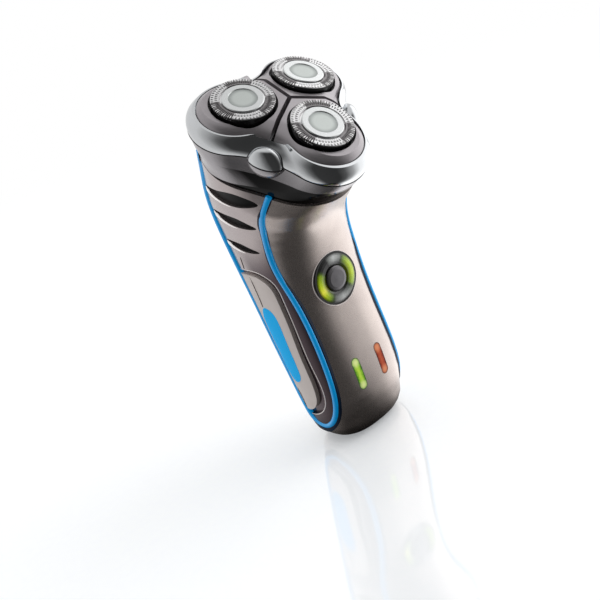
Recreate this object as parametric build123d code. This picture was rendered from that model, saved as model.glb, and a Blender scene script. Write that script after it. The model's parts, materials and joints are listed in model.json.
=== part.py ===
from build123d import *
import math
import os

os.makedirs("parts", exist_ok=True)

# Rotary electric shaver, upright on its foot. +Z runs up the handle, -Y is the front with
# the power button, and X = 0 is the plane of symmetry. The origin is the foot centre.

# ---------------------------------------------------------------- driving dimensions, mm
HEAD_TILT = 36.0                 # the shaving head leans forward by this many degrees
HEAD_Y = -17.85                  # centre of the guard plane
HEAD_Z = 137.55                  # its height, which sets how tall the handle is
GUARD_CIRCLE = 16.6              # radius of the circle on which the three guards sit
GUARD_SPLAY = 6.4                # each guard leans outward, degrees
GUARD_R = 11.35
GUARD_WALL = 0.4
GUARD_DEPTH = 5.0
GUARD_FACE = 2.9                 # width of the slotted face between rim and cap groove
HOLDER_GAP = 0.8                 # dark ring between guard and holder
FLANGE_WIDTH = 0.45              # how far the guard's flange reaches under its holder
GUARD_PROUD = 1.8                # guard face above its holder
CAP_GAP = 0.65
CUTTER_RIM_GAP = 0.65            # between a cutter and the inside of its guard's wall
CUTTER_BLADES = 15
SLOPE = 0.2                      # the seams of the head sink outward by this much per mm
RING_TOP = -6.0                  # upper edge of the bright ring, at a lobe's tip
RING_BOTTOM = -13.0              # lower edge of it
UNIT_GAP = 0.7                   # open seam between shaving unit and collar
NECK_H = -24.5                   # lower edge of the collar, below the guard plane
NECK_GAP = 0.3
GRIP_HALF = 20.5                 # half width of the handle where it is held
WALL = 2.4                       # handle wall
FOOT_ROUND = 9.5                 # rounding of the lower end of the handle
FIT = 0.05                       # running fit, radial
PLAY = 0.35                      # gap round pieces that travel

GEAR_MODULE = 0.65
PINION_TEETH = 12
GEAR_TEETH = 36
GEAR_TOP = -19.0
GEAR_HEIGHT = 3.0
SHAFT_R = 1.4
DECK_TOP = -15.5
DECK_THICK = 1.8
CARRIER_TOP = -25.6
CARRIER_THICK = 2.0
MOTOR_R = 10.5
MOTOR_LENGTH = 25.0
MOTOR_GAP = 1.2

HINGE_Y = 28.0                   # axis on which the shaving unit flips open, head frame
HINGE_H = -12.8
HINGE_R = 1.9
HINGE_PIN_R = 0.9
RELEASE_TRAVEL = 1.2

BUTTON_Z = 66.4
BUTTON_R = 10.4                  # outer edge of the dark bezel
BEZEL_WIDTH = 0.75
DOME_R = 4.9
BUTTON_TRAVEL = 0.8
WINDOW_X = 6.25
WINDOW_Z = 27.8
WINDOW_LENGTH = 13.8
WINDOW_WIDTH = 3.8

PIPING_HALF = 1.0                # half the width of the blue piping
PIPING_PROUD = 0.55
PAD_PROUD = 0.45
CHANNEL_DEPTH = 1.3
GROOVE_DEPTH = 1.5
SIDE_START = 4.0                 # side pieces lie further out than this in X

PARTING_Y = 1.0                  # front and back shell meet here under the foot

BATTERY_R = 7.0
BATTERY_LENGTH = 50.0
BATTERY_X = 7.3
BATTERY_Y = 4.4
BATTERY_Z = 16.0
BOARD_Y = -5.6
BOARD_THICK = 1.2

TRIMMER_HALF = 14.7
TRIMMER_HEIGHT = 17.3
TRIMMER_SWING_GAP = 1.5
TRIMMER_AXIS = (29.6, -36.95)    # y, and z below the head
SLIDER_Z = -47.3                 # middle of the slider, below the head
SLIDER_TRAVEL = 4.0

GUARDS = {"front": -90.0, "left": 150.0, "right": 30.0}
SIDES = {"left": -1, "right": 1}

HEAD = Location((0, HEAD_Y, HEAD_Z), (HEAD_TILT, 0, 0))
SPLAY = math.radians(GUARD_SPLAY)
SPINDLE_CIRCLE = GEAR_MODULE * (PINION_TEETH + GEAR_TEETH) / 2


HOLDER_BORE = GUARD_R + HOLDER_GAP
FLANGE_R = HOLDER_BORE + FLANGE_WIDTH
CAP_GROOVE_R = GUARD_R - 0.35 - GUARD_FACE
CAP_R = CAP_GROOVE_R - CAP_GAP
CUTTER_R = GUARD_R - GUARD_WALL - CUTTER_RIM_GAP
CUTTER_INNER = CAP_GROOVE_R + 0.55

# The side view is drawn for a head at DRAWN_HEIGHT. A taller handle keeps its neck and foot
# as they are and is longer between the two.
DRAWN_HEIGHT = 137.55
GRIP_Z = (30.0, 84.0)


# ---------------------------------------------------------------- small helpers
def rise(z):
    """Height in the part for a height z in the drawn side view."""
    share = (z - GRIP_Z[0]) / (GRIP_Z[1] - GRIP_Z[0])
    return z + (HEAD_Z - DRAWN_HEIGHT) * min(1.0, max(0.0, share))


def write(shape, name):
    export_step(shape, f"parts/{name}.step")


def block(x0, x1, y0, y1, z0, z1):
    box = Solid.make_box(x1 - x0, y1 - y0, z1 - z0)
    return box.moved(Location((x0, y0, z0)))


def rod(radius, z0, z1, x=0.0, y=0.0):
    return Solid.make_cylinder(radius, z1 - z0, Plane(origin=(x, y, z0)))


def rod_along(radius, start, direction, length):
    return Solid.make_cylinder(radius, length, Plane(origin=start, z_dir=direction))


def turned_profile(points):
    """Solid of revolution about Z, from (radius, height) points."""
    face = Face(Wire.make_polygon([Vector(r, 0, z) for r, z in points], close=True))
    return Solid.revolve(face, 360, Axis.Z)


def one(shape):
    """The single solid of a boolean result."""
    solids = shape.solids()
    return solids[0] if len(solids) == 1 else Compound(solids)


def largest(shape):
    return shape.solids().sort_by(SortBy.VOLUME)[-1]


def on_guard(shape, azimuth):
    """From a guard's own frame, face at z = 0, into the part frame."""
    turn = Location((0, 0, 0), (0, 0, azimuth))
    seat = Location((GUARD_CIRCLE, 0, 0), (0, GUARD_SPLAY, 0))
    return shape.moved(HEAD * turn * seat)


def on_spindle(shape, azimuth):
    turn = Location((0, 0, 0), (0, 0, azimuth))
    return shape.moved(HEAD * turn * Location((SPINDLE_CIRCLE, 0, 0)))


# ---------------------------------------------------------------- the three-lobed outline
def trefoil(centre, lobe, hollow, h):
    """Six tangent arcs: three lobes of radius lobe, three hollows of radius hollow."""
    half = math.radians(60)
    reach = centre * math.cos(half)
    reach += math.sqrt((lobe + hollow) ** 2 - (centre * math.sin(half)) ** 2)
    edges = []
    for azimuth in GUARDS.values():
        a = math.radians(azimuth)

        def point(r, t):
            return Vector(r * math.cos(a + t), r * math.sin(a + t), h)

        mid = point(centre, 0)
        next_lobe = point(centre, 2 * half)
        left, right = point(reach, half), point(reach, -half)
        touch_left = mid + (left - mid).normalized() * lobe
        touch_right = mid + (right - mid).normalized() * lobe
        touch_next = next_lobe + (left - next_lobe).normalized() * lobe
        tip = point(centre + lobe, 0)
        waist = point(reach - hollow, half)
        edges.append(Edge.make_three_point_arc(touch_right, tip, touch_left))
        edges.append(Edge.make_three_point_arc(touch_left, waist, touch_next))
    return Wire(edges)


def trefoil_loft(rows, inset=0.0):
    return Solid.make_loft([trefoil(c, r - inset, f + inset, h) for h, c, r, f in rows])


def trefoil_prism(centre, lobe, hollow, h0, h1):
    return Solid.extrude(Face(trefoil(centre, lobe, hollow, h0)), Vector(0, 0, h1 - h0))


def above_seam(height):
    """Everything above a seam that is height high at a lobe's tip and sinks outward."""
    lobe_tip, far = 34.0, 70.0
    return turned_profile([
        (0, height + SLOPE * lobe_tip),
        (far, height - SLOPE * (far - lobe_tip)),
        (far, 40),
        (0, 40),
    ])


# height, lobe centre, lobe radius, hollow radius
RING_ROWS = [
    (-1.5, 18.1, 15.0, 16.0),
    (-6.0, 18.3, 15.5, 17.0),
    (-9.5, 19.3, 16.4, 40.0),
    (-13.2, 20.0, 14.9, 48.0),
    (-15.5, 20.1, 13.4, 49.0),
]
COLLAR_ROWS = [
    (-9.5, 20.1, 13.9, 49.0),
    (-13.7, 20.1, 14.2, 49.0),
    (-17.0, 17.6, 15.8, 60.0),
    (-20.5, 12.9, 18.7, 90.0),
    (NECK_H, 8.6, 21.6, 150.0),
]
RING_EDGE = 1.1                  # thickness of the ring at its upper edge
POCKET = (18.3, 15.5 - RING_EDGE, 17.0 + RING_EDGE)
FLOOR_H = -9.6
FLOOR_THICK = 1.4
RETAINER_H = -11.2
RETAINER_THICK = 1.4


# ---------------------------------------------------------------- handle skin
def lobed_radius(t, centre, lobe, hollow):
    """Radius of the trefoil at angle t from the middle of its front lobe."""
    off = abs((math.degrees(t) + 60) % 120 - 60)
    a, b = math.radians(off), math.radians(60 - off)
    half = math.radians(60)
    reach = centre * math.cos(half)
    reach += math.sqrt((lobe + hollow) ** 2 - (centre * math.sin(half)) ** 2)
    touch = Vector(reach * math.cos(half) - centre, reach * math.sin(half)).normalized() * lobe
    if a < math.atan2(touch.Y, centre + touch.X):
        return centre * math.cos(a) + math.sqrt(lobe ** 2 - (centre * math.sin(a)) ** 2)
    return reach * math.cos(b) - math.sqrt(hollow ** 2 - (reach * math.sin(b)) ** 2)


# front (y, z), back (y, z), half width beyond GRIP_HALF, squareness
STATIONS = [
    ((-22.9, 96.6), (26.2, 125.0), 7.1, 2.1),
    ((-16.6, 91.0), (31.2, 112.5), 4.8, 2.2),
    ((-13.0, 84.0), (31.6, 96.5), 2.4, 2.5),
    ((-11.7, 74.0), (28.6, 79.0), 1.1, 2.8),
    ((-11.8, 62.0), (25.0, 63.0), 0.4, 3.0),
    ((-13.9, 47.0), (21.8, 47.0), 0.1, 3.1),
    ((-16.7, 30.0), (18.2, 30.0), 0.0, 3.0),
    ((-17.2, 18.0), (15.8, 18.0), -0.1, 2.8),
]
FOOT_STATION = ((-15.4, FOOT_ROUND), (13.6, FOOT_ROUND), -0.3, 2.6)
FOOT_ANGLES = [0, 22, 40, 55, 67, 78]
FOOT_DEPTH_ROUND = 0.68          # the foot rounds less from front to back than sideways
HALF_POINTS = 12


def half_outline(front, back, radius_at):
    """Points from the front round the +X side to the back of a section."""
    (fy, fz), (by, bz) = front, back
    depth = math.hypot(by - fy, bz - fz)
    vy, vz = (by - fy) / depth, (bz - fz) / depth
    cy, cz = (fy + by) / 2, (fz + bz) / 2
    points = []
    for k in range(HALF_POINTS + 1):
        t = math.pi * k / HALF_POINTS
        r = radius_at(t - math.pi / 2)
        x, v = r * math.sin(t), -r * math.cos(t)
        points.append(Vector(x, cy + v * vy, cz + v * vz))
    return points


def outline_wire(points):
    """The closed, symmetric outline of a section."""
    mirrored = [Vector(-p.X, p.Y, p.Z) for p in reversed(points)]
    outward, homeward = Vector(1, 0, 0), Vector(-1, 0, 0)
    return Wire([
        Edge.make_spline(points, tangents=[outward, homeward], scale=False),
        Edge.make_spline(mirrored, tangents=[homeward, outward], scale=False),
    ])


def squircle(half_width, half_depth, squareness):
    def radius(t):
        c = abs(math.cos(t) / half_width) ** squareness
        s = abs(math.sin(t) / half_depth) ** squareness
        return (c + s) ** (-1 / squareness)
    return radius


def blended(rows):
    """The rows with one more half way between each two, on a smooth curve."""
    out = [rows[0]]
    for k in range(len(rows) - 1):
        before = rows[max(k - 1, 0)]
        after = rows[min(k + 2, len(rows) - 1)]
        middle = []
        for p, a, b, q in zip(before, rows[k], rows[k + 1], after):
            middle.append((a + b) * (9 / 16) - (p + q) * (1 / 16))
        out += [middle, rows[k + 1]]
    return out


def skin(inset):
    """The handle's outer form, moved inward by inset (outward if negative)."""
    tilt = math.radians(HEAD_TILT)
    top = NECK_H - NECK_GAP
    cy = HEAD_Y - top * math.sin(tilt)
    cz = HEAD_Z + top * math.cos(tilt)
    front = (cy - math.cos(tilt), cz - math.sin(tilt))
    back = (cy + math.cos(tilt), cz + math.sin(tilt))
    _, centre, lobe, hollow = COLLAR_ROWS[-1]

    def neck(t):
        return lobed_radius(t + math.pi / 2, centre, lobe - inset, hollow + inset)

    rows = [half_outline(front, back, neck)]
    for front, back, wider, squareness in STATIONS:
        front, back = (front[0], rise(front[1])), (back[0], rise(back[1]))
        half = GRIP_HALF + wider
        depth = math.dist(front, back)
        radius = squircle(half - inset, depth / 2 - inset, squareness)
        rows.append(half_outline(front, back, radius))
    (fy, _), (by, _), wider, squareness = FOOT_STATION
    half = GRIP_HALF + wider
    end = math.sin(math.radians(FOOT_ANGLES[-1]))
    foot = []
    for angle in FOOT_ANGLES:
        a = math.radians(angle)
        z = inset + (FOOT_ROUND - inset) * (end - math.sin(a)) / end
        round_x = FOOT_ROUND * (1 - math.cos(a))
        round_y = FOOT_DEPTH_ROUND * round_x
        radius = squircle(half - inset - round_x, (by - fy) / 2 - inset - round_y, squareness)
        foot.append(half_outline((fy, z), (by, z), radius))
    rows = blended(rows + foot[:1]) + foot[1:]
    return Solid.make_loft([outline_wire(row) for row in rows], ruled=True)


def prism_of(edges, side):
    """Prism running outward along X from an outline drawn at SIDE_START."""
    face = Face(Wire(edges))
    if side < 0:
        face = face.mirror(Plane.YZ)
    return Solid.extrude(face, Vector(side * 40, 0, 0))


def yz(points):
    """Points of the drawn side view, on the plane where the side prisms start."""
    return [Vector(SIDE_START, y, rise(z)) for y, z in points]


def layer(outside, inside, region):
    """The part of region between two skins."""
    return (outside & region) - inside


# seam between front shell and side panel, round the lower end, and up to the neck again
PANEL_LINE = [
    (-17.2, 113.6), (-12.7, 103.0), (-9.3, 99.0), (-5.8, 91.8), (-3.6, 82.0), (-5.7, 70.5),
    (-9.4, 52.5),
    (-12.1, 34.0), (-12.2, 20.0), (-8.6, 10.4), (-1.8, 5.8), (4.6, 9.0), (9.0, 19.0),
    (13.8, 41.0), (17.2, 60.0), (20.2, 80.0), (21.9, 95.0), (21.8, 106.0), (19.0, 116.5),
    (11.0, 126.5),
]
PANEL_STEPS = 40


def shifted(edge, amount):
    """Copy of the panel line moved sideways, inward of the panel if positive."""
    points = []
    for k in range(PANEL_STEPS + 1):
        u = k / PANEL_STEPS
        p, t = edge.position_at(u), edge.tangent_at(u)
        points.append(Vector(SIDE_START, p.Y - t.Z * amount, p.Z + t.Y * amount))
    return Edge.make_spline(points)


def panel_prism(edge, side):
    start, end = edge.position_at(0), edge.position_at(1)
    lift = Vector(0, 0, 20)
    closing = [
        Edge.make_line(end, end + lift),
        Edge.make_line(end + lift, start + lift),
        Edge.make_line(start + lift, start),
    ]
    return prism_of([edge] + closing, side)


def closed_prism(points, side):
    """Prism from a smooth closed (y, z) outline."""
    return prism_of([Edge.make_spline(yz(points), periodic=True)], side)


# three crescent grooves: rear tip, lower lip, front tip, upper lip
GROOVES = [
    [(15.2, 113.8), (4.0, 109.4), (-7.0, 106.7), (-12.4, 106.7), (-8.6, 110.6), (2.6, 114.0)],
    [(16.2, 103.6), (9.2, 99.8), (1.6, 97.5), (-5.4, 97.1), (-2.4, 100.3), (5.4, 103.2)],
    [(17.6, 90.6), (12.2, 88.0), (5.4, 86.3), (-0.4, 86.3), (4.2, 88.7), (10.6, 90.6)],
]
# front edge of the channel round the grip pad, and of the pad itself
CHANNEL_EDGE = [(24.0, 77.6), (11.0, 78.0), (3.4, 76.8), (-1.0, 73.4), (-2.8, 66.0),
                (-4.2, 54.0), (-6.2, 38.0), (-8.2, 24.0), (-6.6, 18.0), (-2.0, 14.0),
                (6.0, 12.4), (14.0, 11.8)]
PAD_EDGE = [(24.0, 75.8), (12.0, 76.0), (5.4, 74.8), (1.4, 71.8), (-0.4, 65.0),
            (-1.6, 54.0), (-2.6, 40.0), (-4.2, 26.0), (-3.2, 20.2), (0.4, 16.2),
            (7.0, 14.4), (14.0, 13.8)]
# the insert is a long drop that lies in the pad: down its front edge and up behind
INSERT = [(8.8, 61.4), (5.0, 58.8), (3.6, 53.0), (2.9, 44.0), (1.8, 34.0), (2.6, 29.4),
          (5.8, 27.8), (8.8, 30.0), (11.2, 39.0), (13.2, 50.0), (12.8, 58.0)]


def edge_prism(points, side):
    """Prism behind a smooth front edge, closed well behind the panel."""
    edge = Edge.make_spline(yz(points))
    start, end = edge.position_at(0), edge.position_at(1)
    corner_top = Vector(SIDE_START, 34, start.Z)
    corner_low = Vector(SIDE_START, 34, end.Z)
    closing = [
        Edge.make_line(end, corner_low),
        Edge.make_line(corner_low, corner_top),
        Edge.make_line(corner_top, start),
    ]
    return prism_of([edge] + closing, side)


def on_front(shape):
    """From a frame whose +Z is the outward normal of the front, origin at the button."""
    return shape.moved(Location((0, 0, BUTTON_Z), (90, 0, 0)))


def capsule(half_length, radius, height, x=0.0, y=0.0):
    """Upright stadium prism: half_length to the ends of the straight part, along Y."""
    middle = block(-radius, radius, -half_length, half_length, 0, height)
    ends = rod(radius, 0, height, 0, -half_length) + rod(radius, 0, height, 0, half_length)
    return (middle + ends).moved(Location((x, y, 0)))


# ---------------------------------------------------------------- handle: shells and sides
outer = skin(0)
inner = skin(WALL)
groove_floor = skin(GROOVE_DEPTH)
proud = skin(-PIPING_PROUD)
pad_top = skin(-PAD_PROUD)
channel_floor = skin(CHANNEL_DEPTH)
seat = skin(WALL + FIT)          # what sits against the inside of the shells stays within this

panel_line = Edge.make_spline(yz(PANEL_LINE))
panel_inside = shifted(panel_line, PIPING_HALF)
panel_outside = shifted(panel_line, -PIPING_HALF)

front = outer & block(-40, 40, -40, PARTING_Y, -5, HEAD_Z)
back = outer & block(-40, 40, PARTING_Y, 40, -5, HEAD_Z)
inlays = []
for name, side in SIDES.items():
    panel_area = panel_prism(panel_inside, side)
    full_area = panel_prism(panel_outside, side)
    front = front - full_area
    back = back - full_area
    piping = layer(proud, channel_floor, full_area - panel_area)
    write(largest(piping), f"piping_{name}")

    panel = layer(outer, inner, panel_area)
    for points in GROOVES:
        crescent = closed_prism(points, side)
        panel = panel - (crescent - groove_floor)
        inlays.append(layer(channel_floor, groove_floor, crescent))
    channel = edge_prism(CHANNEL_EDGE, side)
    pad_area = edge_prism(PAD_EDGE, side)
    insert_area = closed_prism(INSERT, side)
    panel = panel - (channel - channel_floor)
    write(largest(panel), f"side_panel_{name}")

    pad = layer(pad_top, channel_floor, pad_area & panel_area)
    write(largest(pad - insert_area), f"grip_pad_{name}")
    insert = layer(proud, channel_floor, insert_area & panel_area)
    write(largest(insert), f"grip_insert_{name}")
write(Compound([s for inlay in inlays for s in inlay.solids()]), "groove_inlays")
print("handle sides done")

# ---------------------------------------------------------------- front: button and lights
front = front - inner
back = back - inner
BEZEL_FRONT = -12.2              # y of the dark rim's front edge
RING_FRONT = -12.7
DOME_FRONT = -13.3
BUTTON_FLOOR = (-9.4, -8.6)      # y of the plate behind the button
BUTTON_BACK = -10.4
STEM_R = 2.0

button_hole = on_front(rod(BUTTON_R, -BUTTON_FLOOR[1] - 1, 20))
front = front - button_hole
rim = rod(BUTTON_R, -BUTTON_FLOOR[1], -BEZEL_FRONT)
rim = rim - rod(BUTTON_R - BEZEL_WIDTH, -BUTTON_FLOOR[0], -BEZEL_FRONT)
rim = rim - rod(STEM_R + PLAY, 0, 20)
write(on_front(one(rim)), "button_bezel")

ring_inner = DOME_R + PLAY
ring = turned_profile([
    (ring_inner, -BUTTON_FLOOR[0]),
    (BUTTON_R - BEZEL_WIDTH, -BUTTON_FLOOR[0]),
    (BUTTON_R - BEZEL_WIDTH, -BEZEL_FRONT + 0.1),
    (BUTTON_R - BEZEL_WIDTH - 1.0, -RING_FRONT - 0.12),
    ((BUTTON_R + DOME_R) / 2, -RING_FRONT),
    (ring_inner + 0.8, -RING_FRONT - 0.1),
    (ring_inner, -RING_FRONT - 0.5),
])
write(on_front(ring), "button_light_ring")

SWITCH_FRONT = -8.2
stem_end = -SWITCH_FRONT + BUTTON_TRAVEL + 0.1
dome = turned_profile([
    (0, stem_end),
    (STEM_R, stem_end),
    (STEM_R, -BUTTON_BACK),
    (DOME_R, -BUTTON_BACK),
    (DOME_R, -DOME_FRONT - 0.75),
    (DOME_R - 0.35, -DOME_FRONT - 0.4),
    (DOME_R - 1.4, -DOME_FRONT - 0.12),
    (0, -DOME_FRONT),
])
write(on_front(dome), "power_button")

straight = (WINDOW_LENGTH - WINDOW_WIDTH) / 2
for name, side in (("charge_window", -1), ("low_battery_window", 1)):
    pill = capsule(straight, WINDOW_WIDTH / 2, 30, side * WINDOW_X, WINDOW_Z - BUTTON_Z)
    pill = on_front(pill)
    write(largest(layer(outer, inner, pill)), name)
    front = front - pill

# ---------------------------------------------------------------- foot: charging inlet
SOCKET_Y = 0.0
SOCKET_HALF = 2.5                # half the straight part of the inlet's stadium
SOCKET_OPEN_R = 3.5
SOCKET_WALL = 1.25
SOCKET_DEPTH = 6.0
SOCKET_TOP = 8.0
PIN_R = 0.7
PIN_X = 3.0


def inlet(radius, z0, z1):
    bar = block(-SOCKET_HALF, SOCKET_HALF, SOCKET_Y - radius, SOCKET_Y + radius, z0, z1)
    for x in (-SOCKET_HALF, SOCKET_HALF):
        bar = bar + rod(radius, z0, z1, x, SOCKET_Y)
    return bar


socket_body = inlet(SOCKET_OPEN_R + SOCKET_WALL, 0.1, SOCKET_TOP)
front = front - inlet(SOCKET_OPEN_R + SOCKET_WALL, -1, SOCKET_TOP)
back = back - inlet(SOCKET_OPEN_R + SOCKET_WALL, -1, SOCKET_TOP)
socket_body = socket_body - inlet(SOCKET_OPEN_R, -1, SOCKET_DEPTH)
pins = []
for x in (-PIN_X, PIN_X):
    socket_body = socket_body - rod(PIN_R, SOCKET_DEPTH - 1, SOCKET_TOP + 1, x, SOCKET_Y)
    pins.append(rod(PIN_R, 2.0, SOCKET_TOP + 1.4, x, SOCKET_Y))
write(one(socket_body), "charging_socket")
write(Compound(pins), "socket_pins")

# ---------------------------------------------------------------- inside the handle
CHASSIS_Y = (-4.2, -2.8)
CHASSIS_X = GRIP_HALF - 6.5
CHASSIS_Z = (12.0, rise(83.0))
BOARD_X = CHASSIS_X - 1.0
BOARD_Z = (22.0, rise(78.0))
BOSS_R = 2.2
BOSSES = ((9, BOARD_Z[0] - 4.5), (-9, BOARD_Z[0] - 4.5),
          (11, BOARD_Z[1] + 2.6), (-11, BOARD_Z[1] + 2.6))
board_front = BOARD_Y
board = block(-BOARD_X, BOARD_X, board_front, board_front + BOARD_THICK, *BOARD_Z)
write(board, "circuit_board")
switch = block(-3, 3, SWITCH_FRONT + 0.8, board_front, BUTTON_Z - 3, BUTTON_Z + 3)
switch = switch + rod_along(1.5, (0, SWITCH_FRONT, BUTTON_Z), (0, 1, 0), 1.0)
write(one(switch), "power_switch")
leds = []
for side in (-1, 1):
    for x, z in ((WINDOW_X, WINDOW_Z), (7.0, BUTTON_Z)):
        leds.append(block(side * x - 1, side * x + 1, board_front - 0.8, board_front, z - 1.5, z + 1.5))
write(Compound(leds), "status_leds")
chips = [
    block(-4, 4, board_front - 1.2, board_front, 44, 52),
    block(-9, -6, board_front - 2.0, board_front, 38, 42),
    block(6, 10, board_front - 1.5, board_front, 36, 41),
    block(-5, -1, board_front - 0.8, board_front, 32, 34.5),
    rod_along(2.4, (6.5, board_front - 2.2, 50), (0, 1, 0), 2.2),
]
write(Compound(chips), "board_components")

cells, tabs = [], []
battery_top = BATTERY_Z + BATTERY_LENGTH
for side in (-1, 1):
    x = side * BATTERY_X
    cells.append(rod(BATTERY_R, BATTERY_Z, battery_top - 0.8, x, BATTERY_Y))
    cells[-1] = one(cells[-1] + rod(2.6, battery_top - 0.8, battery_top, x, BATTERY_Y))
write(Compound(cells), "battery_cells")
TAB_THICK = 0.3
tabs = [block(-10, 10, BATTERY_Y - 2, BATTERY_Y + 2, battery_top, battery_top + TAB_THICK)]
for side in (-1, 1):
    x = side * BATTERY_X
    tabs.append(block(x - 4, x + 4, BATTERY_Y - 2, BATTERY_Y + 2, BATTERY_Z - TAB_THICK, BATTERY_Z))
write(Compound(tabs), "battery_tabs")

chassis = block(-CHASSIS_X, CHASSIS_X, *CHASSIS_Y, *CHASSIS_Z)
shelf_low = BATTERY_Z - TAB_THICK
shelf_high = battery_top + TAB_THICK
chassis = chassis + block(-12, 12, CHASSIS_Y[1], 9, shelf_low - 1.5, shelf_low)
chassis = chassis + block(-CHASSIS_X, CHASSIS_X, CHASSIS_Y[1], 11, shelf_high, shelf_high + 1.6)
for x, z in BOSSES:
    chassis = chassis + rod_along(BOSS_R, (x, -20, z), (0, 1, 0), 20 + CHASSIS_Y[0])
board_back = BOARD_Y + BOARD_THICK
chassis = chassis + block(-2, 2, board_back, CHASSIS_Y[0], 60, 64)
write(one(chassis & seat), "chassis")

SCREW_X = 10.0
SCREW_Z = 25.0
SCREW_R = 2.0
screws = []
for side in (-1, 1):
    hole = rod_along(SCREW_R, (side * SCREW_X, 15.3, SCREW_Z), (0, 1, 0), 6)
    hole = hole + rod_along(1.0, (side * SCREW_X, 12.0, SCREW_Z), (0, 1, 0), 4)
    back = back - hole
    head = rod_along(SCREW_R, (side * SCREW_X, 15.3, SCREW_Z), (0, 1, 0), 0.8)
    head = head + rod_along(1.0, (side * SCREW_X, 14.0, SCREW_Z), (0, 1, 0), 1.5)
    slot = block(-0.3, 0.3, 15.7, 17, -1.6, 1.6).moved(Location((side * SCREW_X, 0, SCREW_Z)))
    screws.append(one(head - slot))
write(Compound(screws), "shell_screws")

# ---------------------------------------------------------------- back: pop-out trimmer
TRIMMER_WALL = 1.6
LUG_X = (6.3, 9.0)
LUG_R = 1.0
TRIMMER_PIN_R = 0.5
COMB_Y = (24.6, 25.8)
COMB_X = TRIMMER_HALF - 1.7
BLADE_Y = (23.6, 24.5)
BLADE_X = COMB_X - 1.5
TOOTH_DEPTH = 2.4
axis_y, axis_z = TRIMMER_AXIS[0], HEAD_Z + TRIMMER_AXIS[1]
cover_z = (axis_z - 1.2, axis_z - 1.2 + TRIMMER_HEIGHT)
comb_z = (axis_z + 2.4, cover_z[1] - 0.7)
blade_z = (comb_z[0] + 1.0, comb_z[1] - 0.6)

opening_half = TRIMMER_HALF + PLAY
opening_z = (cover_z[0] - TRIMMER_SWING_GAP, cover_z[1] + PLAY)
opening = block(-opening_half, opening_half, 15, 45, *opening_z)
back = back - opening
lug_pocket = [rod_along(LUG_R + PLAY, (side * (LUG_X[1] + PLAY), axis_y, axis_z), (-side, 0, 0),
                        LUG_X[1] - LUG_X[0] + 2 * PLAY) for side in (-1, 1)]
cover = outer & block(-TRIMMER_HALF, TRIMMER_HALF, 15, 45, *cover_z)
cover = cover - skin(TRIMMER_WALL)
cover = cover + rod_along(LUG_R, (-LUG_X[0] + PLAY, axis_y, axis_z), (1, 0, 0),
                          2 * (LUG_X[0] - PLAY))
for pocket in lug_pocket:
    cover = cover - pocket
cover = cover - rod_along(TRIMMER_PIN_R + FIT, (-7, axis_y, axis_z), (1, 0, 0), 14)
cover = largest(cover)
write(cover, "trimmer_cover")


def toothed_plate(half, y_range, z_range, pitch):
    plate = block(-half, half, *y_range, *z_range)
    slots = []
    count = int(2 * half / pitch)
    for k in range(count):
        x = (k - (count - 1) / 2) * pitch
        slots.append(block(x - 0.25 * pitch, x + 0.25 * pitch, y_range[0] - 1, y_range[1] + 1,
                           z_range[1] - TOOTH_DEPTH, z_range[1] + 1))
    return one(plate - Compound(slots))


comb = toothed_plate(COMB_X, COMB_Y, comb_z, 1.2)
for side in (-1, 1):
    arm_x = side * (COMB_X - 1)
    arm = block(arm_x - 1, arm_x + 1, COMB_Y[1], 32, comb_z[0] + 1.5, comb_z[0] + 9)
    comb = comb + arm
comb = comb & skin(TRIMMER_WALL + FIT)
write(one(comb), "trimmer_comb")
write(toothed_plate(BLADE_X, BLADE_Y, blade_z, 1.0), "trimmer_blade")

HOUSING_Y = (22.7, 23.4)
HOUSING_RAIL = 0.6
housing_half = opening_half + HOUSING_RAIL
housing_z = (opening_z[0] - 2 * HOUSING_RAIL, opening_z[1] + 2 * HOUSING_RAIL)
housing = block(-housing_half, housing_half, *HOUSING_Y, *housing_z)
for side in (-1, 1):
    low, high = sorted((side * LUG_X[0], side * LUG_X[1]))
    lug = block(low, high, HOUSING_Y[1], axis_y, axis_z - LUG_R, axis_z + LUG_R)
    housing = housing + lug + rod_along(LUG_R, (low, axis_y, axis_z), (1, 0, 0), high - low)
housing = housing + rod_along(TRIMMER_PIN_R, (-7, axis_y, axis_z), (1, 0, 0), 14)
for low in (housing_z[0], housing_z[1] - HOUSING_RAIL):
    rail = block(-housing_half, housing_half, HOUSING_Y[1], 32, low, low + HOUSING_RAIL)
    housing = housing + rail
write(largest(housing & seat), "trimmer_housing")

SLIDER_HALF = 6.5
SLIDER_GAP = 0.45
SLIDER_THICK = 1.5
slide_tilt = 9.8                 # the back leans by this much where the slider runs
slider_seat = Location((0, 30.75, HEAD_Z + SLIDER_Z), (-slide_tilt - 90, 0, 0))
grip = block(-SLIDER_HALF, SLIDER_HALF, -3.75, 3.75, SLIDER_GAP, SLIDER_GAP + SLIDER_THICK)
grip = grip.fillet(0.6, grip.faces().sort_by(Axis.Z)[-1].edges())
ridges = Compound([block(-5, 5, y - 0.25, y + 0.25, SLIDER_GAP + SLIDER_THICK - 0.3, 4)
                   for y in (-2, -1, 0, 1, 2)])
grip = (grip - ridges) + block(-2.2, 2.2, -1.5, 1.5, -3.4, SLIDER_GAP + 0.1)
grip = grip + block(-3.6, 3.6, -1.5, 1.5, -4.2, -3.4)
write(one(grip).moved(slider_seat), "trimmer_slider")
slot = block(-2.2 - PLAY, 2.2 + PLAY, -1.5 - PLAY, 1.5 + PLAY + SLIDER_TRAVEL, -3.2, 4)
back = back - slot.moved(slider_seat)

write(largest(front), "front_shell")
write(largest(back), "back_shell")
print("handle done")

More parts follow.
